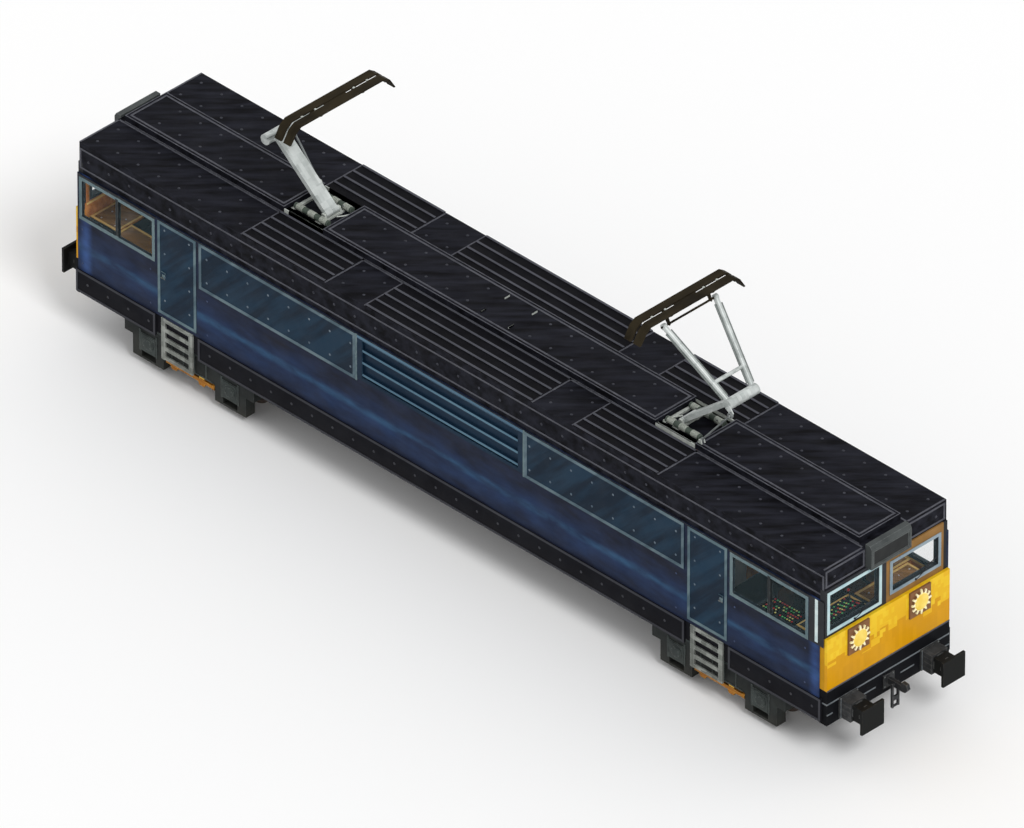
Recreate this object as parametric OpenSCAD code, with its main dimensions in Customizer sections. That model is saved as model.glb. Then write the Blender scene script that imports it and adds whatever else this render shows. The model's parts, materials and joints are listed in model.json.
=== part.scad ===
// Electric locomotive on two four-wheel bogies, standard gauge.
// Millimetres. +X is the front, +Z is up, and z = 0 is the bottom of the wheel flanges.
// Heights are given above the rail head, and on_rail() lifts a piece by the flange's depth.
// The locomotive is the same after half a turn about Z: most modules draw one end, or the
// right-hand side (-Y), and both_ends() turns a second copy round.

/* [Body] */
// Length over the two end walls
body_l = 18120; // [15000:20:21800]
// Width over the side walls
body_w = 3000; // [2500:10:3600]
// Height of the side walls' foot above the rail
sole_h = 1340; // [1250:10:1450]
// Height of the side walls' top above the rail
cantrail_h = 3360; // [3300:10:3450]
// Height of the flat roof above the rail
roof_h = 4000; // [3900:10:4300]
// Thickness of side walls and roof
wall_t = 60; // [40:5:80]
// Thickness of an end wall
end_wall_t = 110; // [80:5:150]
// Thickness of the painted nose plate on an end wall
nose_t = 60; // [30:5:80]
// Height of the nose plate's top above the rail
nose_h = 2600; // [2400:10:2640]
// How far the roof sides stand inside the side walls' faces
roof_inset = 30; // [15:5:40]
// How far the doors and windows of a side are shifted towards its rear
side_shift = 160; // [0:10:200]
// Height of the skirts' lower edge above the rail
skirt_h = 880; // [870:10:950]

/* [Doors and windows] */
// Width of a side door
door_w = 940; // [700:10:1000]
// Height of a side door
door_h = 1924; // [1800:4:1924]
// Running gap around a door
door_gap = 8; // [8:1:14]
// Post between a door and its side window
door_post = 70; // [60:5:120]
// Length of a cab side window
side_window_l = 1850; // [1200:10:1900]
// Height of a cab side window
side_window_h = 880; // [600:10:900]
// Height of the side windows' sill above the rail
side_window_sill = 2420; // [2400:10:2500]
// Distance from an end of the body to the side window's edge
corner_post = 270; // [250:5:300]
// Width of the window frames' bars
frame_w = 60; // [30:5:80]
// Thickness of the glass
glass_t = 8; // [6:1:12]
// Length of the air intake in a side
louvre_l = 4000; // [2500:50:4500]

/* [Roof] */
// Width of the raised centre plates
strip_w = 1000; // [800:10:1100]
// Height of the raised centre plates
strip_h = 130; // [80:5:140]
// Length of a pantograph's well
well_l = 950; // [900:10:1100]
// Distance of the wells' middle from the locomotive's middle
well_c = 4475; // [4000:25:4600]

/* [Running gear] */
// Track gauge
gauge = 1435; // [1000:1:1676]
// Diameter of the wheels at the tread
wheel_d = 950; // [850:10:1000]
// Depth of the wheel flanges
flange_h = 30; // [26:1:34]
// Distance between the axles of a bogie
wheelbase = 2000; // [1900:10:2400]
// Diameter of the axle journals
journal_d = 140; // [110:5:160]
// Distance from an end of the body to its bogie's pivot
bogie_from_end = 2660; // [2400:10:2900]
// Diameter of the bogie pivot pin
pivot_d = 260; // [200:10:320]
// Radial play of pins and journals
play = 0.1; // [0.05:0.01:0.1]

/* [Ends] */
// Distance of the buffers from the middle
buffer_y = 980; // [870:5:1000]
// Height of the buffers above the rail
buffer_h = 1060; // [1020:5:1080]
// Length of a buffer from the beam to its face
buffer_l = 610; // [500:10:650]
// Side of the square headlight plates
lamp_w = 500; // [350:10:560]

/* [Pantographs] */
// Length of the lower arm
lower_l = 1640; // [1400:10:1700]
// Length of the upper arm
upper_l = 1684; // [1500:4:1700]
// Raised angle of the lower arm
lower_a = 39.8; // [35:0.2:42]
// Raised angle of the upper arm
upper_a = 42.6; // [40:0.2:46]
// Length of the collector head between its horns
head_l = 2020; // [1600:10:2100]

/* [Hidden] */
$fn = 48;

hl = body_l / 2;
hw = body_w / 2;
seat = 0.3;

// Ends: inner and outer face of the end wall, and the cut-off roof
end_in = hl - nose_t - end_wall_t;
end_out = hl - nose_t;
edge_t = 20;
beam_low = 820;
beam_h = 1530;
end_top = 3580;
roof_end = hl - 90;
roof_y = hw - roof_inset;
strip_end = hl - 220;
roof_split = well_c + well_l / 2 + 50;

// Side layout, measured along a side from its own middle
win_out = hl - corner_post;
win_in = win_out - side_window_l;
door_c = win_in - door_post - door_w / 2;
door_low = sole_h + wall_t + door_gap;
panel_low = 2400;
panel_top = 3345;
panel_t = 10;
rim_t = 6;
rim_w = 60;
panel_in = louvre_l / 2 + 40;
panel_out = door_c - door_w / 2 - 80;
louvre_low = 2440;
louvre_top = 3340;
slat_h = 45;
slat_levels = [2560, 2810, 3060, 3310 - slat_h / 2];
slat_back = 14;
hinge_r = 9;
hinge_off = 15;
hinge_h = 120;
hinge_levels = [1560, 2340, 3120];
strap_l = 60;
strap_t = 6;

// Cab
bulk_x = door_c - door_w / 2 - side_shift - 80;
bulk_t = 50;
floor_top = sole_h + wall_t;
desk_x = end_in - 780;
desk_top = 2380;
desk_edge = 2240;
desk_y = hw - 180;
seat_x = end_in - 1400;
seat_y = 700;

// Windscreens: [inner edge, outer edge, sill, top], right-hand pane first
screens = [
  [-120, -(hw - 70), 2660, 3520],
  [80, hw - 190, 2730, 3420],
];
screen_out = 14;

// End fittings
lamp_y = 740;
lamp_h = 2320;
headcode_y = 480;
headcode_edge = 50;
coupling_h = 1050;

// Skirts and sills
sill_y = hw - edge_t;
sill_t = 80;
sill_low = 950;
skirt_t = 40;
skirt_rim_t = 10;
skirt_rim_w = 45;
skirt_gap = 525;
step_w = 760;
step_low = 480;
step_t = 40;
step_post = 90;
rung_h = 70;
rung_pitch = 195;

// Roof grilles: [from, to] along the roof
grille_spans = [[-roof_split, -3000], [-2000, 2000], [3000, roof_split]];
grille_t = 12;
rib_h = 16;
rib_w = 45;
rib_count = 5;

// Bogies
bogie_c = hl - bogie_from_end;
wheel_r = wheel_d / 2;
wheel_back = gauge / 2 - 37.5;
rim_width = 135;
frame_out = hw - 120;
frame_side_t = 220;
frame_in = frame_out - frame_side_t;
frame_top = 860;
frame_low = 430;
frame_end_low = 520;
pedestal_low = 110;
pedestal_in = wheelbase / 2 - 370;
pedestal_out = wheelbase / 2 + 385;
head_x = wheelbase / 2 + wheel_r + flange_h + 20;
head_t = 60;
bolster_l = 500;
bolster_low = 560;
box_w = 350;
box_gap = 3;
box_low = 290;
box_top = 660;
box_y = wheel_back + rim_width + 190;
tie_h = 40;
beam_half = pedestal_in - 60;
beam_at = 342;
beam_t = 64;
motor_d = 600;
motor_x = bolster_l / 2 + motor_d / 2 + 15;
motor_y = 560;
collar_d = 480;
transformer_l = 3000;
transformer_w = 2000;
slab_low = 1200;

// Pantographs, drawn at the front: [x, z] of the pins, above the rail
arm_foot = [well_c - 175, roof_h + 100];
knee = arm_foot + lower_l * [cos(lower_a), sin(lower_a)];
head_pin = knee + upper_l * [-cos(upper_a), sin(upper_a)];
tail_l = 180;
tail_pin = knee + tail_l * [cos(upper_a), -sin(upper_a)];
rod_foot = [arm_foot.x + 712, roof_h + strip_h + 50];
rod_y = 405;
rod_pin_d = 28;
rod_eye_bore = 70;
rod_d = 40;
arm_y = 150;
arm_depth = 90;
foot_d = 50;
knee_d = 200;
knee_pin_d = 60;
knee_y = 350;
knee_gap = 5;
upper_foot_y = 280;
upper_top_y = 620;
upper_d = 100;
upper_tie_d = 70;
upper_eye_d = 110;
top_pin_d = 40;
base_y = 400;
base_h = 60;
cross_h = 45;
bracket_t = 40;
drum_l = 800;
drum_y = 285;
drum_d = 110;
head_c = [head_pin.x - 120, head_pin.y + 210];
head_depth = 380;
strip_depth = 165;
strip_t = 36;
horn_out = 260;
horn_down = 280;

module on_rail() translate([0, 0, flange_h]) children();
module both_ends() {
  children();
  rotate(180) children();
}
// Along a side, measured from the side's own middle, then at both mirrored places
module side_frame() translate([-side_shift, 0, 0]) children();
module both_bays() {
  children();
  mirror([1, 0, 0]) children();
}
module box(lo, hi) translate(lo) cube(hi - lo);
// A round bar from a to b
module bar(a, b, d) {
  v = b - a;
  translate(a) rotate([0, acos(v.z / norm(v)), atan2(v.y, v.x)]) cylinder(h = norm(v), d = d);
}
// A pin along Y through [x, z], between two y values
module pin(at, y0, y1, d) {
  translate([at.x, y0, at.y]) rotate([-90, 0, 0]) cylinder(h = y1 - y0, d = d);
}
// An outline in x and z, with depth from y0 to y1
module side_plate(outline, y0, y1) {
  translate([0, y1, 0]) rotate([90, 0, 0]) linear_extrude(y1 - y0) polygon(outline);
}

// ---- Body ----

module underframe() color("dimgray") on_rail() {
  box([-end_in, -hw + wall_t, slab_low], [end_in, hw - wall_t, sole_h]);
  for (s = [-1, 1]) translate([0, s * (sill_y - sill_t / 2), 0])
    box([-end_in, -sill_t / 2, sill_low], [end_in, sill_t / 2, sole_h]);
}

module buffer_beams() color("black") on_rail() both_ends() {
  box([end_in, -sill_y, beam_low], [end_out, hw - wall_t, beam_h]);
  box([end_out, -sill_y, beam_low], [hl, sill_y, beam_h]);
}

module bay_openings() {
  box([door_c - door_w / 2 - door_gap, -hw - 1, door_low - door_gap],
      [door_c + door_w / 2 + door_gap, -hw + wall_t + 1, door_low + door_h + door_gap]);
  box([win_in, -hw - 1, side_window_sill],
      [win_out, -hw + wall_t + 1, side_window_sill + side_window_h]);
}

// Hinge halves: fixed ones are above the door's at each level
module hinge_half(fixed) {
  axis = door_c - door_w / 2 - door_gap / 2;
  inner = -hw + wall_t;
  for (z = hinge_levels) {
    low = fixed ? z + seat : z - hinge_h / 2;
    high = fixed ? z + hinge_h / 2 : z;
    translate([axis, inner + hinge_off, low]) cylinder(h = high - low, r = hinge_r);
    box([fixed ? axis - strap_l : axis, inner, low],
        [fixed ? axis - door_gap / 2 : axis + strap_l, inner + strap_t, high]);
    box([fixed ? axis - door_gap : axis + door_gap / 2, inner, low],
        [fixed ? axis - door_gap / 2 : axis + door_gap, inner + hinge_off, high]);
    box([fixed ? axis - door_gap : axis, inner + strap_t, low],
        [fixed ? axis : axis + door_gap, inner + hinge_off, high]);
  }
}

module side_walls() color([0.14, 0.2, 0.33]) on_rail() both_ends() {
  difference() {
    box([-end_out, -hw, sole_h], [end_in, -hw + wall_t, cantrail_h]);
    side_frame() both_bays() bay_openings();
    side_frame() box([-louvre_l / 2 + rim_w, -hw - 1, louvre_low],
                     [louvre_l / 2 - rim_w, -hw + wall_t + 1, louvre_top]);
  }
  side_frame() both_bays() hinge_half(true);
}

module screen_cut(s, grow) {
  box([end_in - grow, min(s[0], s[1]), s[2]], [end_out + grow, max(s[0], s[1]), s[3]]);
}

module cab_ends() color([0.2, 0.2, 0.22]) on_rail() both_ends() difference() {
  union() {
    box([end_in, -sill_y, beam_h], [end_out, hw - wall_t, end_top]);
    box([end_in, -sill_y, cantrail_h], [end_out, roof_y, end_top]);
  }
  for (s = screens) screen_cut(s, 1);
}

module nose_panels() color([0.93, 0.7, 0.08]) on_rail() both_ends()
  box([end_out, -sill_y, beam_h], [hl, sill_y, nose_h]);

// A plate with a raised rim on the face of the right-hand side
module rimmed_plate(x0, x1, z0, z1) {
  box([x0, -hw - panel_t, z0], [x1, -hw, z1]);
  difference() {
    box([x0, -hw - panel_t - rim_t, z0], [x1, -hw - panel_t, z1]);
    box([x0 + rim_w, -hw - panel_t - rim_t - 1, z0 + rim_w],
        [x1 - rim_w, -hw - panel_t + 1, z1 - rim_w]);
  }
}

module side_panels() color([0.1, 0.22, 0.32]) on_rail() both_ends() side_frame() both_bays()
  rimmed_plate(panel_in, panel_out, panel_low, panel_top);

module side_louvres() color([0.45, 0.6, 0.65]) on_rail() both_ends() side_frame() {
  x0 = louvre_l / 2 - rim_w;
  difference() {
    union() {
      box([-x0, -hw - panel_t, louvre_low], [x0, -hw + wall_t, louvre_top]);
      box([-x0 - rim_w, -hw - panel_t, louvre_low], [x0 + rim_w, -hw, louvre_top]);
    }
    box([-x0 + rim_w, -hw - panel_t - 1, louvre_low + rim_w],
        [x0 - rim_w, -hw + wall_t - slat_back, louvre_top - rim_w]);
  }
  for (z = slat_levels) box([-x0 + rim_w, -hw, z - slat_h / 2],
                            [x0 - rim_w, -hw + wall_t - slat_back, z + slat_h / 2]);
}

// ---- Roof ----

module roof_shell(x0, x1) difference() {
  box([x0, -roof_y, cantrail_h], [x1, roof_y, roof_h]);
  box([x0 - 1, -roof_y + wall_t, cantrail_h - 1],
      [min(x1 + 1, end_in), roof_y - wall_t, roof_h - wall_t]);
  box([end_in, -roof_y - 1, cantrail_h - 1], [hl, roof_y + 1, end_top]);
}

module cab_roofs() color([0.1, 0.1, 0.12]) on_rail() both_ends()
  roof_shell(roof_split, roof_end);

module machine_room_roof() color([0.1, 0.1, 0.12]) on_rail() roof_shell(-roof_split, roof_split);

module roof_grilles() color([0.25, 0.25, 0.28]) on_rail() both_ends() for (g = grille_spans) {
  y0 = strip_w / 2 + 10;
  y1 = roof_y - 5;
  pitch = (y1 - y0 - rib_w) / (rib_count - 1);
  box([g[0], y0, roof_h], [g[1], y1, roof_h + grille_t]);
  for (i = [0 : rib_count - 1]) translate([0, y0 + i * pitch, 0])
    box([g[0], 0, roof_h + grille_t], [g[1], rib_w, roof_h + grille_t + rib_h]);
}

module roof_centre_plates() color([0.12, 0.12, 0.14]) on_rail() {
  top = roof_h + strip_h;
  box([-well_c + well_l / 2, -strip_w / 2, roof_h], [well_c - well_l / 2, strip_w / 2, top]);
  both_ends() box([well_c + well_l / 2, -strip_w / 2, roof_h], [strip_end, strip_w / 2, top]);
}

// ---- Skirts and steps ----

// Skirt plates, each with a raised rim, leave a gap for the steps under each door
module side_skirts() color([0.08, 0.08, 0.1]) on_rail() both_ends() {
  gap_in = door_c - skirt_gap;
  gap_out = door_c + skirt_gap;
  skirt_plate(-end_out - nose_t / 2, -gap_out - side_shift);
  skirt_plate(-gap_in - side_shift, gap_in - side_shift);
  skirt_plate(gap_out - side_shift, end_in + nose_t);
}

module skirt_plate(x0, x1) {
  face = -sill_y - skirt_t;
  box([x0, face, skirt_h], [x1, -sill_y, sole_h]);
  difference() {
    box([x0, face - skirt_rim_t, skirt_h], [x1, face, sole_h]);
    box([x0 + skirt_rim_w, face - skirt_rim_t - 1, skirt_h + skirt_rim_w],
        [x1 - skirt_rim_w, face + 1, sole_h - skirt_rim_w]);
  }
}

module cab_steps() color([0.5, 0.52, 0.5]) on_rail() both_ends() side_frame() both_bays() {
  for (s = [-1, 1]) translate([door_c + s * (step_w - step_post) / 2, 0, 0])
    box([-step_post / 2, -sill_y - step_t, step_low], [step_post / 2, -sill_y, sole_h]);
  for (z = [step_low : rung_pitch : sole_h - rung_h])
    box([door_c - step_w / 2, -sill_y - step_t + 5, z], [door_c + step_w / 2, -sill_y - 5, z + rung_h]);
}

// ---- Cab ----

module cab_bulkheads() color([0.5, 0.5, 0.48]) on_rail() both_ends() {
  box([bulk_x - bulk_t, -hw + wall_t, sole_h], [bulk_x, hw - wall_t, cantrail_h]);
  box([bulk_x - bulk_t, -roof_y + wall_t, cantrail_h], [bulk_x, roof_y - wall_t, roof_h - wall_t]);
}

module cab_floors() color([0.25, 0.2, 0.15]) on_rail() both_ends()
  box([bulk_x, -hw + wall_t, sole_h], [end_in, hw - wall_t, floor_top]);

module driver_desks() color([0.06, 0.06, 0.06]) on_rail() both_ends() side_plate([
  [end_in, floor_top], [end_in, desk_top], [desk_x + 120, desk_top], [desk_x, desk_edge],
  [desk_x, desk_edge - 60], [desk_x + 260, desk_edge - 160], [desk_x + 260, floor_top],
], -desk_y, desk_y);

module driver_seats() color([0.3, 0.2, 0.12]) on_rail() both_ends() for (s = [-1, 1])
  translate([seat_x, s * seat_y, floor_top]) {
    cylinder(h = 40, d = 360);
    cylinder(h = 420, d = 90);
    box([-230, -230, 420], [230, 230, 520]);
    box([-230, -210, 520], [-140, 210, 1080]);
  }

// ---- Windows ----

// A frame of one or two panes across a wall: lo and hi are its corners, axis is 0 or 1
module window_frame(lo, hi, lights, axis) {
  l = (hi[axis] - lo[axis] - frame_w) / lights;
  difference() {
    box(lo, hi);
    for (i = [0 : lights - 1]) {
      a = lo[axis] + frame_w + i * l;
      box([axis == 0 ? a : lo.x - 1, axis == 1 ? a : lo.y - 1, lo.z + frame_w],
          [axis == 0 ? a + l - frame_w : hi.x + 1, axis == 1 ? a + l - frame_w : hi.y + 1,
           hi.z - frame_w]);
    }
  }
}

module windscreen_frames() color([0.65, 0.77, 0.78]) on_rail() both_ends() for (s = screens)
  window_frame([end_in, min(s[0], s[1]), s[2]], [end_out + screen_out, max(s[0], s[1]), s[3]], 1, 1);

module windscreens() color([0.5, 0.6, 0.65]) on_rail() both_ends() for (s = screens)
  box([(end_in + end_out) / 2, min(s[0], s[1]) + frame_w, s[2] + frame_w],
      [(end_in + end_out) / 2 + glass_t, max(s[0], s[1]) - frame_w, s[3] - frame_w]);

module side_window_frames() color([0.45, 0.6, 0.65]) on_rail() both_ends() side_frame()
  both_bays() window_frame([win_in, -hw - panel_t, side_window_sill],
                           [win_out, -hw + wall_t, side_window_sill + side_window_h], 2, 0);

module side_windows() color([0.5, 0.6, 0.65]) on_rail() both_ends() side_frame() both_bays() {
  l = (side_window_l - frame_w) / 2;
  y = -hw + wall_t / 2;
  for (i = [0, 1]) box([win_in + frame_w + i * l, y, side_window_sill + frame_w],
                       [win_in + (i + 1) * l, y + glass_t, side_window_sill + side_window_h - frame_w]);
}

// ---- End fittings ----

module headcode_boxes() color([0.3, 0.3, 0.32]) on_rail() both_ends() difference() {
  side_plate([
    [roof_end, end_top], [hl + 60, end_top], [hl + 60, roof_h - 20], [hl + 20, roof_h + 50],
    [roof_end, roof_h + 50],
  ], -headcode_y, headcode_y);
  box([hl + 40, -headcode_y + headcode_edge, end_top + headcode_edge],
      [hl + 61, headcode_y - headcode_edge, roof_h - 10 - headcode_edge]);
}

module headlights() color([0.5, 0.36, 0.24]) on_rail() both_ends() for (s = [-1, 1])
  translate([hl, s * lamp_y, lamp_h]) {
    box([0, -lamp_w / 2, -lamp_w / 2 - 15], [35, lamp_w / 2, lamp_w / 2 + 15]);
    translate([35, 0, 0]) rotate([0, 90, 0]) cylinder(h = 25, d = lamp_w - 100);
    translate([60, 0, 0]) rotate([0, 90, 0]) cylinder(h = 15, d1 = lamp_w - 160, d2 = lamp_w - 220);
  }

module buffer_stocks() color([0.12, 0.12, 0.13]) on_rail() both_ends() for (s = [-1, 1])
  translate([hl, s * buffer_y, buffer_h]) {
    box([0, -210, -210], [40, 210, 210]);
    box([40, -190, -190], [buffer_l - 350, 190, 190]);
  }

module buffer_heads() color([0.2, 0.2, 0.22]) on_rail() both_ends() for (s = [-1, 1])
  translate([hl, s * buffer_y, buffer_h]) {
    box([buffer_l - 350, -150, -150], [buffer_l - 50, 150, 150]);
    box([buffer_l - 50, -265, -250], [buffer_l, 265, 250]);
  }

module couplings() color([0.22, 0.22, 0.24]) on_rail() both_ends() {
  side_plate([
    [hl, 990], [hl, 1110], [hl + 330, 1110], [hl + 360, 1180], [hl + 470, 1170],
    [hl + 500, 1080], [hl + 440, 1000], [hl + 370, 990],
  ], -35, 35);
  translate([hl, 0, coupling_h]) {
    box([0, -130, -130], [25, 130, 130]);
    pin([170, 0], -85, 85, 50);
    for (s = [-1, 1]) box([145, s * 70 - 15, -470], [195, s * 70 + 15, 0]);
    pin([170, -450], -85, 85, 44);
    box([150, -55, -330], [190, 55, -250]);
    pin([170, -290], -85, 85, 30);
  }
}

// ---- Inside and underneath ----

module transformer() color("gray") on_rail()
  box([-transformer_l / 2, -transformer_w / 2, sole_h], [transformer_l / 2, transformer_w / 2, 2500]);

module bogie_pivots() color("dimgray") on_rail() both_ends() translate([bogie_c, 0, 0]) {
  translate([0, 0, bolster_low + 20]) cylinder(h = frame_top - bolster_low, d = pivot_d);
  translate([0, 0, frame_top + seat]) cylinder(h = slab_low - frame_top - seat, d = collar_d);
}

// ---- Bogies, drawn about their own pivot ----

module bogie_side() difference() {
  side_plate([
    [-head_x - head_t, frame_top], [-head_x - head_t, frame_end_low],
    [-pedestal_out, frame_end_low], [-pedestal_out, pedestal_low], [-pedestal_in, pedestal_low],
    [-pedestal_in, frame_low], [pedestal_in, frame_low], [pedestal_in, pedestal_low],
    [pedestal_out, pedestal_low], [pedestal_out, frame_end_low],
    [head_x + head_t, frame_end_low], [head_x + head_t, frame_top],
  ], frame_in, frame_out);
  for (s = [-1, 1]) translate([s * wheelbase / 2, 0, 0])
    box([-box_w / 2 - box_gap, frame_in - 1, pedestal_low + tie_h],
        [box_w / 2 + box_gap, frame_out + 1, box_top]);
}

module bogie_frame() color([0.14, 0.17, 0.17]) on_rail() difference() {
  union() {
    both_ends() bogie_side();
    both_ends() box([head_x, -frame_in, bolster_low], [head_x + head_t, frame_in, frame_top]);
    box([-bolster_l / 2, -frame_in, bolster_low], [bolster_l / 2, frame_in, frame_top]);
  }
  translate([0, 0, bolster_low - 1]) cylinder(h = frame_top - bolster_low + 2, d = pivot_d + 2 * play);
}

module axleboxes() color([0.2, 0.24, 0.24]) on_rail() both_ends() for (s = [-1, 1])
  translate([s * wheelbase / 2, 0, 0]) difference() {
    union() {
      box([-box_w / 2, box_y, box_low], [box_w / 2, frame_out + 15, box_top]);
      pin([0, wheel_r], frame_out + 15, frame_out + 30, box_w - 90);
    }
    pin([0, wheel_r], box_y - 1, frame_out - 30, journal_d + 2 * play);
  }

// A low brass beam along each side, hung from the frame, with a knob at one end
module spring_beams() color([0.75, 0.5, 0.15]) on_rail() both_ends() {
  y0 = -frame_out;
  low = beam_at - beam_t / 2;
  box([-beam_half, y0, low], [beam_half, y0 + 60, low + beam_t]);
  for (x = [-380, 300]) {
    box([x - 60, y0 + 5, low + beam_t], [x + 60, y0 + 55, frame_low]);
    side_plate([[x - 90, low], [x + 90, low], [x + 55, low - 70], [x - 55, low - 70]],
               y0 + 5, y0 + 55);
  }
  translate([beam_half, y0 + 30, beam_at]) rotate([0, 90, 0]) cylinder(h = 50, d = 100);
}

module traction_motors() color([0.25, 0.26, 0.27]) on_rail() both_ends() {
  pin([motor_x, wheel_r], -motor_y, motor_y, motor_d);
  box([bolster_l / 2, -150, bolster_low + 20], [motor_x, 150, bolster_low + 180]);
}

module at_front_bogie() translate([bogie_c, 0, 0]) children();
module at_rear_bogie() translate([-bogie_c, 0, 0]) children();

// One axle with two flanged wheels: the wheel's section is [radius, distance from the back]
module wheel_disc() rotate_extrude($fn = 96) polygon([
  [84, 0], [150, 0], [160, 40], [wheel_r - 90, 45], [wheel_r - 55, 0],
  [wheel_r + flange_h - 6, 0], [wheel_r + flange_h, 10], [wheel_r + 18, 30],
  [wheel_r, 38], [wheel_r, rim_width], [wheel_r - 55, rim_width], [wheel_r - 90, 85],
  [160, 90], [150, rim_width + 20], [84, rim_width + 20],
]);

module wheelset(x) color([0.35, 0.35, 0.36]) on_rail() translate([x, 0, wheel_r]) {
  pin([0, 0], -box_y + 10, box_y - 10, 170);
  pin([0, 0], -frame_out + 40, frame_out - 40, journal_d);
  for (s = [-1, 1]) rotate([s * -90, 0, 0]) translate([0, 0, wheel_back]) wheel_disc();
}

// ---- Pantographs, drawn at the front ----

module pantograph_bases() color([0.62, 0.63, 0.62]) on_rail() both_ends() {
  x0 = well_c - well_l / 2 + 20;
  x1 = well_c + well_l / 2 - 20;
  for (s = [-1, 1]) translate([0, s * base_y, 0])
    box([x0, -30, roof_h], [x1, 30, roof_h + base_h]);
  for (x = [x0, x1 - base_h]) box([x, -base_y, roof_h], [x + base_h, base_y, roof_h + cross_h]);
  box([arm_foot.x - 60, -base_y, roof_h], [arm_foot.x + 60, base_y, roof_h + 35]);
  for (s = [-1, 1]) translate([0, s * (arm_y + knee_gap + bracket_t / 2), 0])
    side_plate([
      [arm_foot.x - 70, roof_h], [arm_foot.x + 70, roof_h], [arm_foot.x + 35, arm_foot.y + 40],
      [arm_foot.x - 35, arm_foot.y + 40],
    ], -bracket_t / 2, bracket_t / 2);
  pin(arm_foot, -arm_y - 40, arm_y + 40, foot_d);
  rod_bracket();
}

// Bracket and pin for the guide rod's foot, on the raised plate
module rod_bracket() {
  for (y = [-rod_y - 45, -rod_y + 25]) side_plate([
    [rod_foot.x - 50, roof_h + strip_h], [rod_foot.x + 50, roof_h + strip_h],
    [rod_foot.x + 25, rod_foot.y + 25], [rod_foot.x - 25, rod_foot.y + 25],
  ], y, y + 20);
  pin(rod_foot, -rod_y - 45, -rod_y + 45, rod_pin_d);
}

// Two spring drums beside the arm's foot, lying on the base's cross bars
module pantograph_springs() color([0.55, 0.5, 0.4]) on_rail() both_ends() for (s = [-1, 1])
  translate([well_c - drum_l / 2, s * drum_y, roof_h + cross_h + drum_d / 2])
    rotate([0, 90, 0]) cylinder(h = drum_l, d = drum_d);

module lower_arm() color([0.7, 0.71, 0.7]) on_rail() difference() {
  union() {
    translate([arm_foot.x, 0, arm_foot.y]) rotate([0, -lower_a, 0])
      box([foot_d / 2 + 10, -arm_y + 10, -arm_depth / 2],
          [lower_l - knee_pin_d, arm_y - 10, arm_depth / 2]);
    pin(arm_foot, -arm_y, arm_y, 110);
    pin(knee, -arm_y, arm_y, knee_d);
  }
  pin(arm_foot, -arm_y - 1, arm_y + 1, foot_d + 2 * play);
  pin(knee, -arm_y - 1, arm_y + 1, knee_pin_d + 2 * play);
}

function upper_at(t, y) = [knee.x + t * (head_pin.x - knee.x), y,
                           knee.y + t * (head_pin.y - knee.y)];

module upper_arm() color([0.62, 0.63, 0.62]) on_rail() difference() {
  union() {
    pin(knee, -knee_y, knee_y, knee_pin_d);
    for (s = [-1, 1]) {
      pin(knee, s > 0 ? arm_y + knee_gap : -knee_y, s > 0 ? knee_y : -arm_y - knee_gap, knee_d);
      bar(upper_at(0, s * upper_foot_y), upper_at(1, s * upper_top_y), upper_d);
      pin(head_pin, s * upper_top_y - 35, s * upper_top_y + 35, upper_eye_d);
    }
    bar(upper_at(0.26, -370), upper_at(0.26, 370), upper_tie_d);
    side_plate([knee + [-30, -70], knee + [70, 20], tail_pin + [30, 20], tail_pin + [-20, -30]],
               -knee_y - 20, -knee_y);
    pin(tail_pin, -rod_y - 20, -knee_y, rod_pin_d);
  }
  for (s = [-1, 1])
    pin(head_pin, s * upper_top_y - upper_d, s * upper_top_y + upper_d, top_pin_d + 2 * play);
}

module pantograph_head() color([0.2, 0.18, 0.16]) on_rail() {
  pin(head_pin, -upper_top_y - 60, upper_top_y + 60, top_pin_d);
  for (s = [-1, 1]) {
    side_plate([
      head_pin + [-28, -25], head_pin + [28, -25], head_pin + [28, 20],
      head_c + [60, -strip_t / 2], head_c + [-60, -strip_t / 2],
    ], s * 500 - 12, s * 500 + 12);
    translate([0, s * 500, 0]) box([head_c.x - head_depth / 2, -25, head_c.y - strip_t / 2 - 12],
                                   [head_c.x + head_depth / 2, 25, head_c.y - strip_t / 2]);
    translate([head_c.x + s * (head_depth - strip_depth) / 2 - strip_depth / 2, 0, head_c.y])
      rotate([90, 0, 90]) linear_extrude(strip_depth) polygon([
        [-head_l / 2, strip_t / 2], [head_l / 2, strip_t / 2],
        [head_l / 2 + horn_out / 2, strip_t / 2 - 90], [head_l / 2 + horn_out, -horn_down],
        [head_l / 2 + horn_out - 40, -horn_down], [head_l / 2 + horn_out / 2 - 30, -100],
        [head_l / 2 - 15, -strip_t / 2], [-head_l / 2 + 15, -strip_t / 2],
        [-head_l / 2 - horn_out / 2 + 30, -100], [-head_l / 2 - horn_out + 40, -horn_down],
        [-head_l / 2 - horn_out, -horn_down], [-head_l / 2 - horn_out / 2, strip_t / 2 - 90],
      ]);
  }
}

module rod_eye(at, outer, bore) difference() {
  pin(at, -rod_y - 20, -rod_y + 20, outer);
  pin(at, -rod_y - 21, -rod_y + 21, bore);
}

module guide_rod() color([0.5, 0.5, 0.5]) on_rail() {
  way = (tail_pin - rod_foot) / norm(tail_pin - rod_foot);
  a = rod_foot + way * 30;
  b = tail_pin - way * (rod_eye_bore / 2 + 10);
  bar([a.x, -rod_y, a.y], [b.x, -rod_y, b.y], rod_d - 4);
  rod_eye(rod_foot, 76, rod_pin_d + 2 * play);
  rod_eye(tail_pin, rod_eye_bore + 40, rod_eye_bore);
}

// ---- Doors, drawn in the right-hand side's front bay ----

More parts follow.
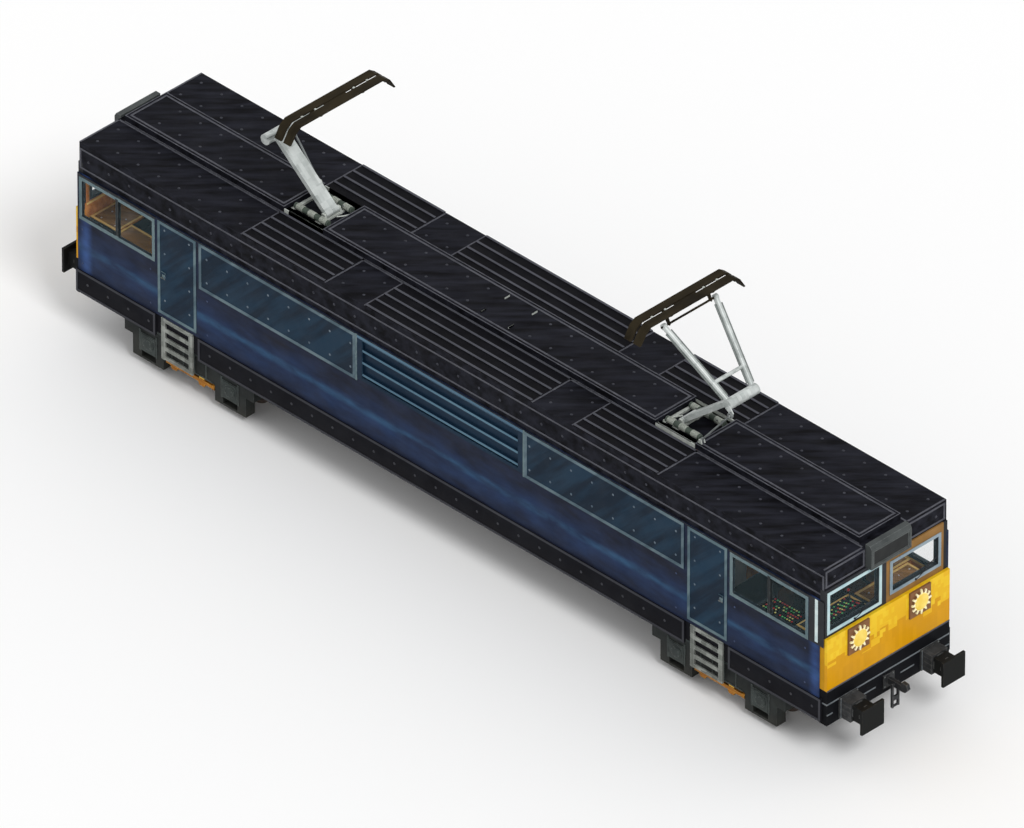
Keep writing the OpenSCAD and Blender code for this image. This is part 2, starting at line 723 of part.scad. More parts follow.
module side_door() color([0.1, 0.24, 0.34]) on_rail() {
  x0 = door_c - door_w / 2;
  x1 = door_c + door_w / 2;
  box([x0, -hw, door_low], [x1, -hw + wall_t, door_low + door_h]);
  translate([0, panel_t, 0]) rimmed_plate(x0, x1, door_low, door_low + door_h);
  box([x1 - 190, -hw - 30, 2270], [x1 - 90, -hw, 2300]);
  hinge_half(false);
}

underframe();
buffer_beams();
side_walls();
cab_ends();
nose_panels();
side_panels();
side_louvres();
cab_roofs();
machine_room_roof();
roof_grilles();
roof_centre_plates();
side_skirts();
cab_steps();
cab_bulkheads();
cab_floors();
driver_desks();
driver_seats();
windscreens();
windscreen_frames();
side_windows();
side_window_frames();
headcode_boxes();
headlights();
buffer_stocks();
buffer_heads();
couplings();
transformer();
bogie_pivots();
pantograph_bases();
pantograph_springs();
side_frame() side_door();  // front_right_door
side_frame() mirror([1, 0, 0]) side_door();  // rear_right_door
rotate(180) side_frame() side_door();  // rear_left_door
rotate(180) side_frame() mirror([1, 0, 0]) side_door();  // front_left_door
at_front_bogie() bogie_frame();  // front_bogie_frame
at_rear_bogie() bogie_frame();  // rear_bogie_frame
at_front_bogie() axleboxes();  // front_axleboxes
at_rear_bogie() axleboxes();  // rear_axleboxes
at_front_bogie() spring_beams();  // front_spring_beams
at_rear_bogie() spring_beams();  // rear_spring_beams
at_front_bogie() traction_motors();  // front_traction_motors
at_rear_bogie() traction_motors();  // rear_traction_motors
wheelset(bogie_c + wheelbase / 2);  // wheelset_1
wheelset(bogie_c - wheelbase / 2);  // wheelset_2
wheelset(-bogie_c + wheelbase / 2);  // wheelset_3
wheelset(-bogie_c - wheelbase / 2);  // wheelset_4
lower_arm();  // front_lower_arm
rotate(180) lower_arm();  // rear_lower_arm
upper_arm();  // front_upper_arm
rotate(180) upper_arm();  // rear_upper_arm
pantograph_head();  // front_pantograph_head
rotate(180) pantograph_head();  // rear_pantograph_head
guide_rod();  // front_guide_rod
rotate(180) guide_rod();  // rear_guide_rod
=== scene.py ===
import json
import math
import random

import bmesh
import bpy
from mathutils import Matrix, Vector


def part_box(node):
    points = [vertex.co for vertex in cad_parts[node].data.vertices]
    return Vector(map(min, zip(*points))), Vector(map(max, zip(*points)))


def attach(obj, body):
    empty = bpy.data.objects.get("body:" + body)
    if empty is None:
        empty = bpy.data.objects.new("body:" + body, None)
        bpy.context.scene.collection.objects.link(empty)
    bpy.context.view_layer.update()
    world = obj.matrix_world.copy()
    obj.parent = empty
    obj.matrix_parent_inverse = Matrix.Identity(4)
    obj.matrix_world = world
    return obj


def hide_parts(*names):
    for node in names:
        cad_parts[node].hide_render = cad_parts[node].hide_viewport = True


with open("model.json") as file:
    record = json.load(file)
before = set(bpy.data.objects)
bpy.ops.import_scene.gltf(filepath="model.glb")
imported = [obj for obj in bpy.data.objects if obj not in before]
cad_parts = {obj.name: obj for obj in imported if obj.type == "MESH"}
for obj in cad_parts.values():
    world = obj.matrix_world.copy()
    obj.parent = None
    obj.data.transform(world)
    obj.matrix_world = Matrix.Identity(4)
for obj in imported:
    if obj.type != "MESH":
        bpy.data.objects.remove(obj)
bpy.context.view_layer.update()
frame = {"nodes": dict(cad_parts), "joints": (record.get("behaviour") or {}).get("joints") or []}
nodes = frame["nodes"]
print("frame loaded")


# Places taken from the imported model
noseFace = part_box("nose_panels")[1].x
noseLow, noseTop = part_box("nose_panels")[0].z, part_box("nose_panels")[1].z
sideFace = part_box("side_walls")[1].y
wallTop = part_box("side_walls")[1].z
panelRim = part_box("side_panels")[1].y
roofTop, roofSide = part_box("machine_room_roof")[1].z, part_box("machine_room_roof")[1].y
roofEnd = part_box("cab_roofs")[1].x
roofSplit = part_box("machine_room_roof")[1].x
plateTop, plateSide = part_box("roof_centre_plates")[1].z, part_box("roof_centre_plates")[1].y
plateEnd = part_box("roof_centre_plates")[1].x
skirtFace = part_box("side_skirts")[1].y - 0.01
deskTop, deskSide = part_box("driver_desks")[1].z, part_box("driver_desks")[1].y
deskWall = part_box("driver_desks")[1].x
bogieCentre = (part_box("front_bogie_frame")[0].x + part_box("front_bogie_frame")[1].x) / 2
axleHeight = (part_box("wheelset_1")[0].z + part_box("wheelset_1")[1].z) / 2
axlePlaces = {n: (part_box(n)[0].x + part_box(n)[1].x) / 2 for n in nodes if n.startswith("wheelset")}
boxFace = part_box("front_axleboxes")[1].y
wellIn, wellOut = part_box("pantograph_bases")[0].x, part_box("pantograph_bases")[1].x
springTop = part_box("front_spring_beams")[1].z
sideShift = 0.16   # doors and windows of a side stand this far towards its rear
doorMiddle = 6.40
grilleIn, grilleOut = 2.0, 3.0   # bare roof between these, beside the middle grilles
bufferSide, bufferHeight = 0.98, 1.09
lampSide = 0.74
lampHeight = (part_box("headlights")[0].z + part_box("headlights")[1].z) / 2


# Node helpers
def shade(red, green, blue):
    parts = [c / 255 for c in (red, green, blue)]
    return (*[c / 12.92 if c <= 0.04045 else ((c + 0.055) / 1.055) ** 2.4 for c in parts], 1.0)


def place(tree, kind, inputs=None, **settings):
    node = tree.nodes.new(kind)
    for key, value in settings.items():
        setattr(node, key, value)
    for key, value in (inputs or {}).items():
        if isinstance(value, bpy.types.NodeSocket):
            tree.links.new(value, node.inputs[key])
        else:
            node.inputs[key].default_value = value
    return node


def maths(tree, operation, *values, clamp=False):
    inputs = dict(enumerate(values))
    return place(tree, "ShaderNodeMath", inputs, operation=operation, use_clamp=clamp).outputs[0]


def blendColours(tree, mask, below, above):
    return place(tree, "ShaderNodeMix", {0: mask, 6: below, 7: above}, data_type="RGBA").outputs[2]


def startMaterial(name):
    material = bpy.data.materials.new(name)
    material.use_nodes = True
    material.node_tree.nodes.clear()
    return material, material.node_tree, place(material.node_tree, "ShaderNodeTexCoord").outputs["Object"]


socketKinds = {
    "Vector": "NodeSocketVector", "Step": "NodeSocketVector", "Points": "NodeSocketGeometry",
    "Geometry": "NodeSocketGeometry", "Finish": "NodeSocketMaterial", "Sides": "NodeSocketInt"}


def startGroup(name, outputs, kind="ShaderNodeTree", **inputs):
    tree = bpy.data.node_groups.new(name, kind)
    for label, side in [(n, "INPUT") for n in inputs] + [(n, "OUTPUT") for n in outputs]:
        kindOf = socketKinds.get(label, "NodeSocketFloat")
        made = tree.interface.new_socket(name=label, in_out=side, socket_type=kindOf)
        if side == "INPUT" and inputs[label] is not None:
            made.default_value = inputs[label]
    return tree, tree.nodes.new("NodeGroupInput").outputs, tree.nodes.new("NodeGroupOutput").inputs


# Shared effects
def buildMottle():
    tree, given, result = startGroup("mottle", ["Mask"], Vector=None, Size=1.0, Softness=0.2)
    noise = place(tree, "ShaderNodeTexNoise", {
        "Vector": given["Vector"], "Scale": given["Size"], "Detail": 5.0, "Roughness": 0.55})
    low = maths(tree, "SUBTRACT", 0.5, given["Softness"])
    high = maths(tree, "ADD", 0.5, given["Softness"])
    spread = place(tree, "ShaderNodeMapRange", {
        "Value": noise.outputs["Fac"], "From Min": low, "From Max": high})
    tree.links.new(spread.outputs[0], result["Mask"])
    return tree


def buildEdgeWear():
    tree, given, result = startGroup("edgeWear", ["Mask"], Vector=None, Radius=0.012, Amount=0.5)
    rounded = place(tree, "ShaderNodeBevel", {"Radius": given["Radius"]}, samples=4)
    plain = place(tree, "ShaderNodeNewGeometry")
    match = place(tree, "ShaderNodeVectorMath", {
        0: rounded.outputs[0], 1: plain.outputs["Normal"]}, operation="DOT_PRODUCT")
    edge = maths(tree, "SUBTRACT", 1.0, match.outputs["Value"])
    sharp = maths(tree, "MULTIPLY", edge, 7.0, clamp=True)
    chips = place(tree, "ShaderNodeTexNoise", {"Vector": given["Vector"], "Scale": 14.0, "Detail": 6.0})
    ragged = maths(tree, "ADD", chips.outputs["Fac"], maths(tree, "SUBTRACT", given["Amount"], 0.75))
    broken = maths(tree, "MULTIPLY", ragged, 3.0, clamp=True)
    tree.links.new(maths(tree, "MULTIPLY", sharp, broken), result["Mask"])
    return tree


def buildGrain():
    tree, given, result = startGroup(
        "grain", ["Height", "Roughness"], Vector=None, Size=60.0, Roughness=0.5, Spread=0.12)
    fine = place(tree, "ShaderNodeTexNoise", {
        "Vector": given["Vector"], "Scale": given["Size"], "Detail": 3.0})
    broad = place(tree, "ShaderNodeTexNoise", {"Vector": given["Vector"], "Scale": 3.0, "Detail": 3.0})
    swing = maths(tree, "SUBTRACT", broad.outputs["Fac"], 0.5)
    change = maths(tree, "MULTIPLY", swing, maths(tree, "MULTIPLY", given["Spread"], 4.0))
    tree.links.new(fine.outputs["Fac"], result["Height"])
    tree.links.new(maths(tree, "ADD", given["Roughness"], change, clamp=True), result["Roughness"])
    return tree


def buildDust():
    tree, given, result = startGroup("dust", ["Mask"], Vector=None, Bottom=0.0, Top=1.6, Amount=0.5)
    height = place(tree, "ShaderNodeSeparateXYZ", {0: given["Vector"]}).outputs["Z"]
    fall = place(tree, "ShaderNodeMapRange", {
        "Value": height, "From Min": given["Bottom"], "From Max": given["Top"], "To Min": 1.0, "To Max": 0.0})
    clouds = place(tree, "ShaderNodeTexNoise", {"Vector": given["Vector"], "Scale": 2.6, "Detail": 6.0})
    lumps = maths(tree, "MULTIPLY", clouds.outputs["Fac"], 1.4, clamp=True)
    amount = maths(tree, "MULTIPLY", fall.outputs[0], given["Amount"])
    tree.links.new(maths(tree, "MULTIPLY", amount, lumps), result["Mask"])
    return tree


def buildPlanks():
    tree, given, result = startGroup("planks", ["Mask"], Vector=None, Step=(1.0, 0.09, 0.22))
    snapped = place(tree, "ShaderNodeVectorMath", {0: given["Vector"], 1: given["Step"]}, operation="SNAP")
    chance = place(tree, "ShaderNodeTexWhiteNoise", {"Vector": snapped.outputs[0]}, noise_dimensions="3D")
    tree.links.new(chance.outputs["Value"], result["Mask"])
    return tree


effects = {"mottle": buildMottle(), "edgeWear": buildEdgeWear(), "grain": buildGrain(),
           "dust": buildDust(), "planks": buildPlanks()}


def effect(tree, name, inputs):
    return place(tree, "ShaderNodeGroup", inputs, node_tree=effects[name]).outputs


# Masks on the piece's own coordinates
def axisReader(tree, coords):
    split = place(tree, "ShaderNodeSeparateXYZ", {0: coords}).outputs
    found = {"x": split["X"], "y": split["Y"], "z": split["Z"]}

    def read(axis):
        if axis not in found:
            if axis in ("absX", "absY"):
                found[axis] = maths(tree, "ABSOLUTE", found[axis[-1].lower()])
            elif axis == "bay":   # distance along a side from that side's own middle
                turned = maths(tree, "MULTIPLY", maths(tree, "SIGN", found["y"]), found["x"])
                found[axis] = maths(tree, "ABSOLUTE", maths(tree, "SUBTRACT", turned, sideShift))
            else:   # across an end, the same way round at both ends
                found[axis] = maths(tree, "MULTIPLY", maths(tree, "SIGN", found["x"]), found["y"])
        return found[axis]
    return read


def within(axis, low, high):
    return lambda tree, read: maths(tree, "COMPARE", read(axis), (low + high) / 2, (high - low) / 2)


# Above a height whose edge steps up and down from one board to the next
def boardsAbove(height, swing, step):
    def build(tree, read):
        spot = place(tree, "ShaderNodeCombineXYZ", {0: read("x"), 1: read("y"), 2: read("z")}).outputs[0]
        boards = effect(tree, "planks", {"Vector": spot, "Step": step})["Mask"]
        change = maths(tree, "MULTIPLY", maths(tree, "SUBTRACT", boards, 0.5), swing)
        return maths(tree, "GREATER_THAN", maths(tree, "ADD", read("z"), change), height)
    return build


def allOf(*masks):
    def build(tree, read):
        made = masks[0](tree, read)
        for mask in masks[1:]:
            made = maths(tree, "MULTIPLY", made, mask(tree, read))
        return made
    return build


# A painted highlight band: full strength along a middle line, fading smoothly to nothing at the given reach
def highlightBandAt(axis, middle, reach, strength=1.0):
    def build(tree, read):
        far = maths(tree, "ABSOLUTE", maths(tree, "SUBTRACT", read(axis), middle))
        fall = place(tree, "ShaderNodeMapRange", {
            "Value": far, "From Min": 0.0, "From Max": reach, "To Min": strength, "To Max": 0.0},
            interpolation_type="SMOOTHSTEP")
        return fall.outputs[0]
    return build


def ringAt(side, height, low, high):
    def build(tree, read):
        across = maths(tree, "SUBTRACT", read("absY"), side)
        up = maths(tree, "SUBTRACT", read("z"), height)
        square = maths(tree, "ADD", maths(tree, "MULTIPLY", across, across), maths(tree, "MULTIPLY", up, up))
        away = maths(tree, "SQRT", square)
        return maths(tree, "COMPARE", away, (low + high) / 2, (high - low) / 2)
    return build


paints = {}


# A paint or metal: two colours mottled into each other, then painted areas (on some finishes these are
# painted highlights or painted shade), wear and dust
def finishOf(name, colour, second, areas=(), size=1.2, turn=(0, 0, 0), stretch=(1, 1, 1), softness=0.2,
             rough=0.5, spread=0.12, metal=0.0, wear=None, wearAmount=0.45, dust=None, dustTop=1.6,
             dustAmount=0.4, grainSize=60.0, bump=0.12, coat=0.0, planks=None, specular=0.1):
    material, tree, coords = startMaterial(name)
    turned = place(tree, "ShaderNodeMapping", {
        "Vector": coords, "Rotation": [math.radians(a) for a in turn],
        "Scale": [1 / s for s in stretch]}, vector_type="TEXTURE").outputs[0]   # turned first, then stretched
    mask = effect(tree, "mottle", {"Vector": turned, "Size": size, "Softness": softness})["Mask"]
    tone = blendColours(tree, mask, shade(*colour), shade(*second))
    if planks:
        boards = effect(tree, "planks", {"Vector": coords, "Step": planks["step"]})["Mask"]
        amount = maths(tree, "MULTIPLY", boards, planks["amount"])
        tone = blendColours(tree, amount, tone, shade(*planks["colour"]))
    read = axisReader(tree, coords)
    for area, first, last in areas:
        inner = blendColours(tree, mask, shade(*first), shade(*last))
        tone = blendColours(tree, area(tree, read), tone, inner)
    if wear:
        worn = effect(tree, "edgeWear", {"Vector": coords, "Amount": wearAmount})["Mask"]
        tone = blendColours(tree, worn, tone, shade(*wear))
    if dust:
        dusty = effect(tree, "dust", {"Vector": coords, "Top": dustTop, "Amount": dustAmount})["Mask"]
        tone = blendColours(tree, dusty, tone, shade(*dust))
    grain = effect(tree, "grain", {"Vector": coords, "Size": grainSize, "Roughness": rough, "Spread": spread})
    surface = place(tree, "ShaderNodeBump", {"Strength": bump, "Distance": 0.01, "Height": grain["Height"]})
    shader = place(tree, "ShaderNodeBsdfPrincipled", {
        "Base Color": tone, "Roughness": grain["Roughness"], "Metallic": metal,
        "Normal": surface.outputs[0], "Coat Weight": coat, "Specular IOR Level": specular})
    place(tree, "ShaderNodeOutputMaterial", {"Surface": shader.outputs[0]})
    paints[name] = material


def glassOf(name, tint, alpha):
    material, tree, coords = startMaterial(name)
    smears = effect(tree, "grain", {"Vector": coords, "Size": 9.0, "Roughness": 0.07, "Spread": 0.05})
    haze = effect(tree, "mottle", {"Vector": coords, "Size": 1.4, "Softness": 0.3})["Mask"]
    shader = place(tree, "ShaderNodeBsdfPrincipled", {
        "Base Color": blendColours(tree, haze, shade(*tint), shade(*[min(255, c + 25) for c in tint])),
        "Roughness": smears["Roughness"], "Alpha": alpha, "Metallic": 0.0, "IOR": 1.45,
        "Specular IOR Level": 0.3})
    place(tree, "ShaderNodeOutputMaterial", {"Surface": shader.outputs[0]})
    return material


# Finishes
acrossRoof = dict(turn=(0, 0, 45), stretch=(0.5, 3.4, 3.4))   # streaks lie across the roof at 45 degrees
risingBands = dict(turn=(0, -45, 0), stretch=(0.3, 1.0, 2.4))   # soft bands climb towards the front
upright = dict(stretch=(1.0, 1.0, 0.15))

black = dict(wear=(60, 60, 66), wearAmount=0.3, rough=0.7, spread=0.1, specular=0.06)

finishOf("framePaint", (17, 17, 22), (26, 27, 32), size=1.6, dust=(88, 82, 74),
         dustTop=1.3, dustAmount=0.2, **black)
finishOf("beamPaint", (11, 12, 15), (19, 20, 24), size=1.6, dust=(70, 66, 60),
         dustTop=1.2, dustAmount=0.1, **black)
finishOf("roofPaint", (9, 9, 13), (33, 34, 42), size=1.9, softness=0.16, bump=0.2,
         **acrossRoof, **black)
finishOf("grillePaint", (9, 9, 12), (16, 16, 21), size=2.0, bump=0.2, areas=[
    (within("z", roofTop + 0.022, roofTop + 0.05), (70, 71, 78), (84, 85, 92))], **black)
finishOf("skirtPaint", (15, 15, 20), (24, 25, 30), size=1.8, areas=[
    (within("absY", skirtFace + 0.004, skirtFace + 0.03), (54, 55, 60), (66, 67, 72))],
    dust=(90, 84, 76), dustTop=1.2, dustAmount=0.16, **black)
# Dark blue side paint with three painted highlights: a broad band along the middle of the side, a narrower
# brighter streak within it, and a strip down each corner next to the cab ends
finishOf("bluePaint", (20, 24, 38), (28, 38, 62), size=2.6, stretch=(0.5, 1, 1.6),
         softness=0.14, wear=(80, 100, 130), wearAmount=0.2, areas=[
    (highlightBandAt("z", 1.80, 0.50, 0.9), (25, 38, 66), (33, 54, 90)),
    (highlightBandAt("z", 1.86, 0.12, 0.7), (28, 44, 74), (52, 90, 122)),
    (highlightBandAt("absX", 8.80, 0.19, 0.65), (42, 64, 112), (62, 94, 152))])
finishOf("tealPaint", (15, 31, 46), (25, 49, 68), size=1.6, softness=0.10,
         wear=(130, 155, 165), wearAmount=0.15, areas=[
    (within("absY", panelRim - 0.0055, panelRim + 0.01), (72, 90, 100), (100, 118, 126))], **risingBands)
finishOf("doorPaint", (15, 32, 48), (26, 52, 72), size=1.6, softness=0.10,
         wear=(130, 155, 165), wearAmount=0.15, areas=[
    (within("absY", sideFace + 0.002, sideFace + 0.02), (74, 94, 104), (102, 122, 128))], **risingBands)
finishOf("louvrePaint", (16, 34, 52), (25, 48, 68), size=1.6, stretch=(0.3, 1, 2),
         areas=[(within("absY", sideFace - 0.0015, sideFace + 0.0015),
                 (74, 104, 124), (96, 128, 146)),
    (allOf(within("absY", sideFace + 0.005, sideFace + 0.02), within("z", 3.318, 3.40)),
     (66, 94, 116), (88, 118, 138))])
finishOf("paleTrim", (82, 102, 108), (112, 130, 134), size=3.0, areas=[
    (within("absY", 1.0, sideFace - 0.003), (38, 46, 52), (52, 60, 66)),
    (allOf(within("bay", 7.83, 7.90), within("z", 2.53, 3.3)), (34, 38, 40), (46, 50, 52))],
         wear=(190, 205, 205), wearAmount=0.3)
finishOf("screenTrim", (160, 192, 200), (200, 220, 220), size=2.5, rough=0.45, areas=[
    (within("turnedY", 0.0, 2.0), (116, 134, 146), (148, 162, 170)),
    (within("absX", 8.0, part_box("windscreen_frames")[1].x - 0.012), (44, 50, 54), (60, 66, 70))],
         wear=(225, 232, 230), wearAmount=0.3)
# Pale colour of the strip on the cab corner pillars, a painted highlight
finishOf("brightTrim", (186, 206, 208), (222, 234, 232), size=6.0, rough=0.45)
# Cab end paint; the yellow below the nose top is a darker copy of the nose yellow, painted shade for the
# nose's side faces
finishOf("endPaint", (34, 35, 39), (50, 51, 55), size=2.0, areas=[
    (within("turnedY", 0.0, 2.0), (118, 86, 44), (150, 112, 62)),
    (allOf(within("turnedY", 1.38, 2.0), within("z", 2.6, 3.62)), (30, 31, 34), (42, 43, 46)),
    (within("z", 0.0, noseTop), (176, 124, 8), (196, 144, 12))], wear=(120, 110, 95), wearAmount=0.2)
finishOf("nosePaint", (206, 146, 8), (216, 156, 12), size=1.0, rough=0.4, coat=0.03,
         areas=[(boardsAbove(2.08, 0.34, (4.0, 0.21, 0.15)), (220, 168, 20), (232, 188, 34)),
                (boardsAbove(2.44, 0.9, (4.0, 0.07, 0.11)), (224, 180, 28), (236, 198, 46))],
         wear=(150, 110, 40), wearAmount=0.2,
         planks=dict(step=(4.0, 0.085, 0.27), amount=0.35, colour=(190, 132, 6)))
# Pale seam colour: the raised seams and mouldings are real, but their pale colour is partly a painted edge
# highlight
finishOf("seamPaint", (66, 67, 74), (84, 85, 92), size=4.0,
         wear=(130, 132, 138), wearAmount=0.35)
finishOf("darkTrim", (36, 37, 41), (50, 52, 55), size=3.0,
         wear=(110, 112, 112), wearAmount=0.3)
# Pale lines on the buffer beams; the same colour also makes the painted highlights at the buffer stocks'
# edges
finishOf("beamLine", (84, 90, 96), (116, 122, 126), size=5.0, rough=0.45,
         wear=(170, 172, 170), wearAmount=0.3)
finishOf("lampPaint", (120, 84, 56), (140, 98, 64), size=5.0, rough=0.45, areas=[
    (ringAt(lampSide, lampHeight, 0.0, 0.172), (236, 198, 74), (248, 222, 120))],
    planks=dict(step=(4.0, 0.12, 0.12), amount=0.35, colour=(104, 72, 50)), wear=(90, 70, 50))
finishOf("lampGlow", (236, 196, 66), (246, 216, 104), size=9.0, rough=0.3, coat=0.2)
finishOf("lampRay", (238, 226, 168), (250, 242, 206), size=9.0, rough=0.4)
finishOf("boxPaint", (62, 66, 66), (80, 84, 84), size=3.0, wear=(130, 134, 132))
finishOf("signFace", (26, 27, 28), (36, 38, 38), size=6.0, rough=0.4, coat=0.05)
finishOf("stepSteel", (120, 124, 118), (164, 168, 162), size=5.0, metal=0.25,
         planks=dict(step=(0.13, 4.0, 0.11), amount=0.7, colour=(72, 76, 72)),
         wear=(190, 194, 190), wearAmount=0.5, dust=(96, 90, 82), dustTop=1.0, **upright)
finishOf("bulkheadPaint", (168, 163, 160), (206, 200, 197), size=4.0, rough=0.6)
finishOf("floorRubber", (40, 38, 37), (58, 54, 50), size=5.0, rough=0.8, grainSize=120.0, bump=0.4)
finishOf("deskPaint", (40, 42, 44), (62, 65, 67), size=3.0, rough=0.45, wear=(110, 114, 114))
finishOf("panelBlack", (9, 10, 10), (16, 18, 17), size=5.0, rough=0.35)
finishOf("buttonRed", (205, 40, 36), (226, 74, 62), size=30.0, rough=0.3)
finishOf("buttonGreen", (60, 190, 96), (120, 222, 130), size=30.0, rough=0.3)
finishOf("buttonYellow", (224, 214, 92), (244, 238, 150), size=30.0, rough=0.3)
finishOf("cabWood", (124, 86, 36), (158, 112, 52), size=2.6, softness=0.12, rough=0.45, coat=0.25,
         turn=(0, 0, 30), stretch=(0.5, 5.0, 3.0), bump=0.25)
finishOf("woodEdge", (224, 178, 92), (246, 216, 136), size=6.0, rough=0.45,
         stretch=(0.4, 4.0, 4.0))
finishOf("orangeLining", (186, 112, 52), (218, 146, 72), size=2.6, softness=0.12,
         stretch=(0.4, 4.0, 3.0), bump=0.2)
finishOf("seatLeather", (62, 40, 26), (88, 58, 38), size=9.0, grainSize=210.0,
         bump=0.5, spread=0.2)
finishOf("bufferSteel", (17, 18, 18), (27, 28, 27), size=3.0, rough=0.65,
         wear=(76, 76, 72), wearAmount=0.35)
finishOf("stockSteel", (50, 51, 52), (74, 75, 76), size=7.0, rough=0.6, wear=(110, 110, 106),
         wearAmount=0.4, planks=dict(step=(4.0, 0.11, 0.11), amount=0.5, colour=(40, 41, 42)))
finishOf("hookSteel", (40, 41, 43), (66, 67, 69), size=6.0, rough=0.45, metal=0.5,
         wear=(128, 128, 126), wearAmount=0.5)
finishOf("greyPaint", (104, 106, 106), (128, 130, 130), size=3.0, rough=0.6)
finishOf("bogiePaint", (27, 31, 32), (44, 49, 49), size=3.2, rough=0.6, wear=(92, 98, 96),
         wearAmount=0.35, dust=(92, 86, 76), dustTop=0.9, dustAmount=0.3)
finishOf("axleboxPaint", (44, 50, 50), (66, 74, 73), size=4.0, rough=0.55, wear=(120, 126, 122),
         wearAmount=0.4, dust=(96, 90, 80), dustTop=0.8, dustAmount=0.25)
finishOf("motorPaint", (46, 48, 50), (66, 68, 70), size=4.0, rough=0.55,
         dust=(90, 82, 70), dustTop=0.9, dustAmount=0.35)
finishOf("brass", (136, 84, 28), (184, 122, 44), size=5.0, rough=0.42, metal=0.35, areas=[
    (within("z", springTop - 0.035, springTop + 0.01), (214, 170, 56), (236, 200, 88))],
         wear=(232, 186, 96), wearAmount=0.5, stretch=(0.5, 2, 2))
# Light grey arm paint; the near-white blocks scattered over it are painted highlights
finishOf("armPaint", (140, 146, 144), (196, 202, 200), size=3.0, rough=0.35, metal=0.2,
         planks=dict(step=(0.31, 0.08, 0.10), amount=0.45, colour=(228, 232, 230)),
         wear=(232, 236, 234), wearAmount=0.4)
finishOf("flangePaint", (92, 98, 96), (128, 134, 132), size=5.0, metal=0.2,
         wear=(190, 196, 192), wearAmount=0.4)
finishOf("basePaint", (166, 172, 166), (206, 210, 204), size=6.0, rough=0.45, metal=0.1,
         wear=(224, 228, 224), wearAmount=0.6)
finishOf("drumDark", (58, 66, 60), (78, 88, 80), size=6.0, wear=(140, 146, 140))
finishOf("drumPale", (140, 146, 138), (172, 177, 168), size=6.0, rough=0.4, metal=0.2,
         wear=(206, 208, 200))
finishOf("headDark", (28, 24, 16), (46, 40, 28), size=3.0, rough=0.7, softness=0.12,
         wear=(84, 78, 66), wearAmount=0.25, stretch=(1, 0.4, 1), specular=0.06)
finishOf("rodPaint", (112, 116, 116), (140, 145, 144), size=6.0, rough=0.4, metal=0.3,
         wear=(190, 194, 192))
finishOf("porcelain", (96, 62, 44), (124, 82, 58), size=9.0, rough=0.2, coat=0.6)
finishOf("roofRivet", (40, 41, 48), (66, 68, 76), size=8.0, rough=0.4)
finishOf("skirtRivet", (44, 45, 50), (64, 65, 70), size=8.0, rough=0.4)
finishOf("tealRivet", (70, 86, 100), (112, 124, 134), size=9.0, rough=0.35)
finishOf("blueRivet", (44, 54, 82), (66, 78, 108), size=9.0, rough=0.35)
finishOf("steelBolt", (84, 88, 88), (124, 128, 126), size=9.0, rough=0.4, metal=0.4)
finishOf("paleBolt", (180, 176, 172), (214, 210, 204), size=9.0, rough=0.35, metal=0.3)


# Wheels are rusty brown with a bright tread, so each wheelset's rings are centred on its own axle
def wheelFinish(name, axle):
    material, tree, coords = startMaterial(name + "Steel")
    centred = place(tree, "ShaderNodeMapping", {
        "Vector": coords, "Location": (-axle, 0, -axleHeight)}).outputs[0]
    split = place(tree, "ShaderNodeSeparateXYZ", {0: centred}).outputs
    square = maths(tree, "ADD", maths(tree, "MULTIPLY", split["X"], split["X"]),
                   maths(tree, "MULTIPLY", split["Z"], split["Z"]))
    away = maths(tree, "SQRT", square)
    tread = maths(tree, "GREATER_THAN", away, axleHeight - 0.034)
    mask = effect(tree, "mottle", {"Vector": centred, "Size": 9.0, "Softness": 0.2})["Mask"]
    body = blendColours(tree, mask, shade(60, 50, 44), shade(88, 72, 60))
    bright = blendColours(tree, mask, shade(138, 134, 130), shade(176, 172, 168))
    worn = effect(tree, "edgeWear", {"Vector": coords, "Amount": 0.4})["Mask"]
    tone = blendColours(tree, worn, blendColours(tree, tread, body, bright), shade(150, 146, 140))
    grain = effect(tree, "grain", {"Vector": coords, "Size": 90.0, "Roughness": 0.5, "Spread": 0.15})
    surface = place(tree, "ShaderNodeBump", {"Strength": 0.2, "Distance": 0.008, "Height": grain["Height"]})
    shader = place(tree, "ShaderNodeBsdfPrincipled", {
        "Base Color": tone, "Roughness": grain["Roughness"], "Metallic": tread, "Normal": surface.outputs[0]})
    place(tree, "ShaderNodeOutputMaterial", {"Surface": shader.outputs[0]})
    return material


paneGlass = glassOf("paneGlass", (120, 150, 160), 0.035)
cadFinishes = {
    "underframe": "framePaint", "buffer_beams": "beamPaint", "side_walls": "bluePaint",
    "cab_ends": "endPaint", "nose_panels": "nosePaint", "side_panels": "tealPaint",
    "side_louvres": "louvrePaint",
    "cab_roofs": "roofPaint", "machine_room_roof": "roofPaint", "roof_grilles": "grillePaint",
    "roof_centre_plates": "roofPaint", "side_skirts": "skirtPaint", "cab_steps": "stepSteel",
    "cab_bulkheads": "bulkheadPaint", "cab_floors": "floorRubber", "driver_desks": "deskPaint",
    "driver_seats": "seatLeather", "windscreen_frames": "screenTrim", "side_window_frames": "paleTrim",
    "headcode_boxes": "boxPaint", "headlights": "lampPaint", "buffer_stocks": "stockSteel",
    "buffer_heads": "bufferSteel", "couplings": "hookSteel", "transformer": "greyPaint",
    "bogie_pivots": "hookSteel", "pantograph_bases": "basePaint", "pantograph_springs": "drumDark"}
for end in ("front", "rear"):
    cadFinishes.update({
        f"{end}_right_door": "doorPaint", f"{end}_left_door": "doorPaint", f"{end}_bogie_frame": "bogiePaint",
        f"{end}_axleboxes": "axleboxPaint", f"{end}_spring_beams": "brass",
        f"{end}_traction_motors": "motorPaint",
        f"{end}_lower_arm": "armPaint", f"{end}_upper_arm": "armPaint", f"{end}_pantograph_head": "headDark",
        f"{end}_guide_rod": "rodPaint"})
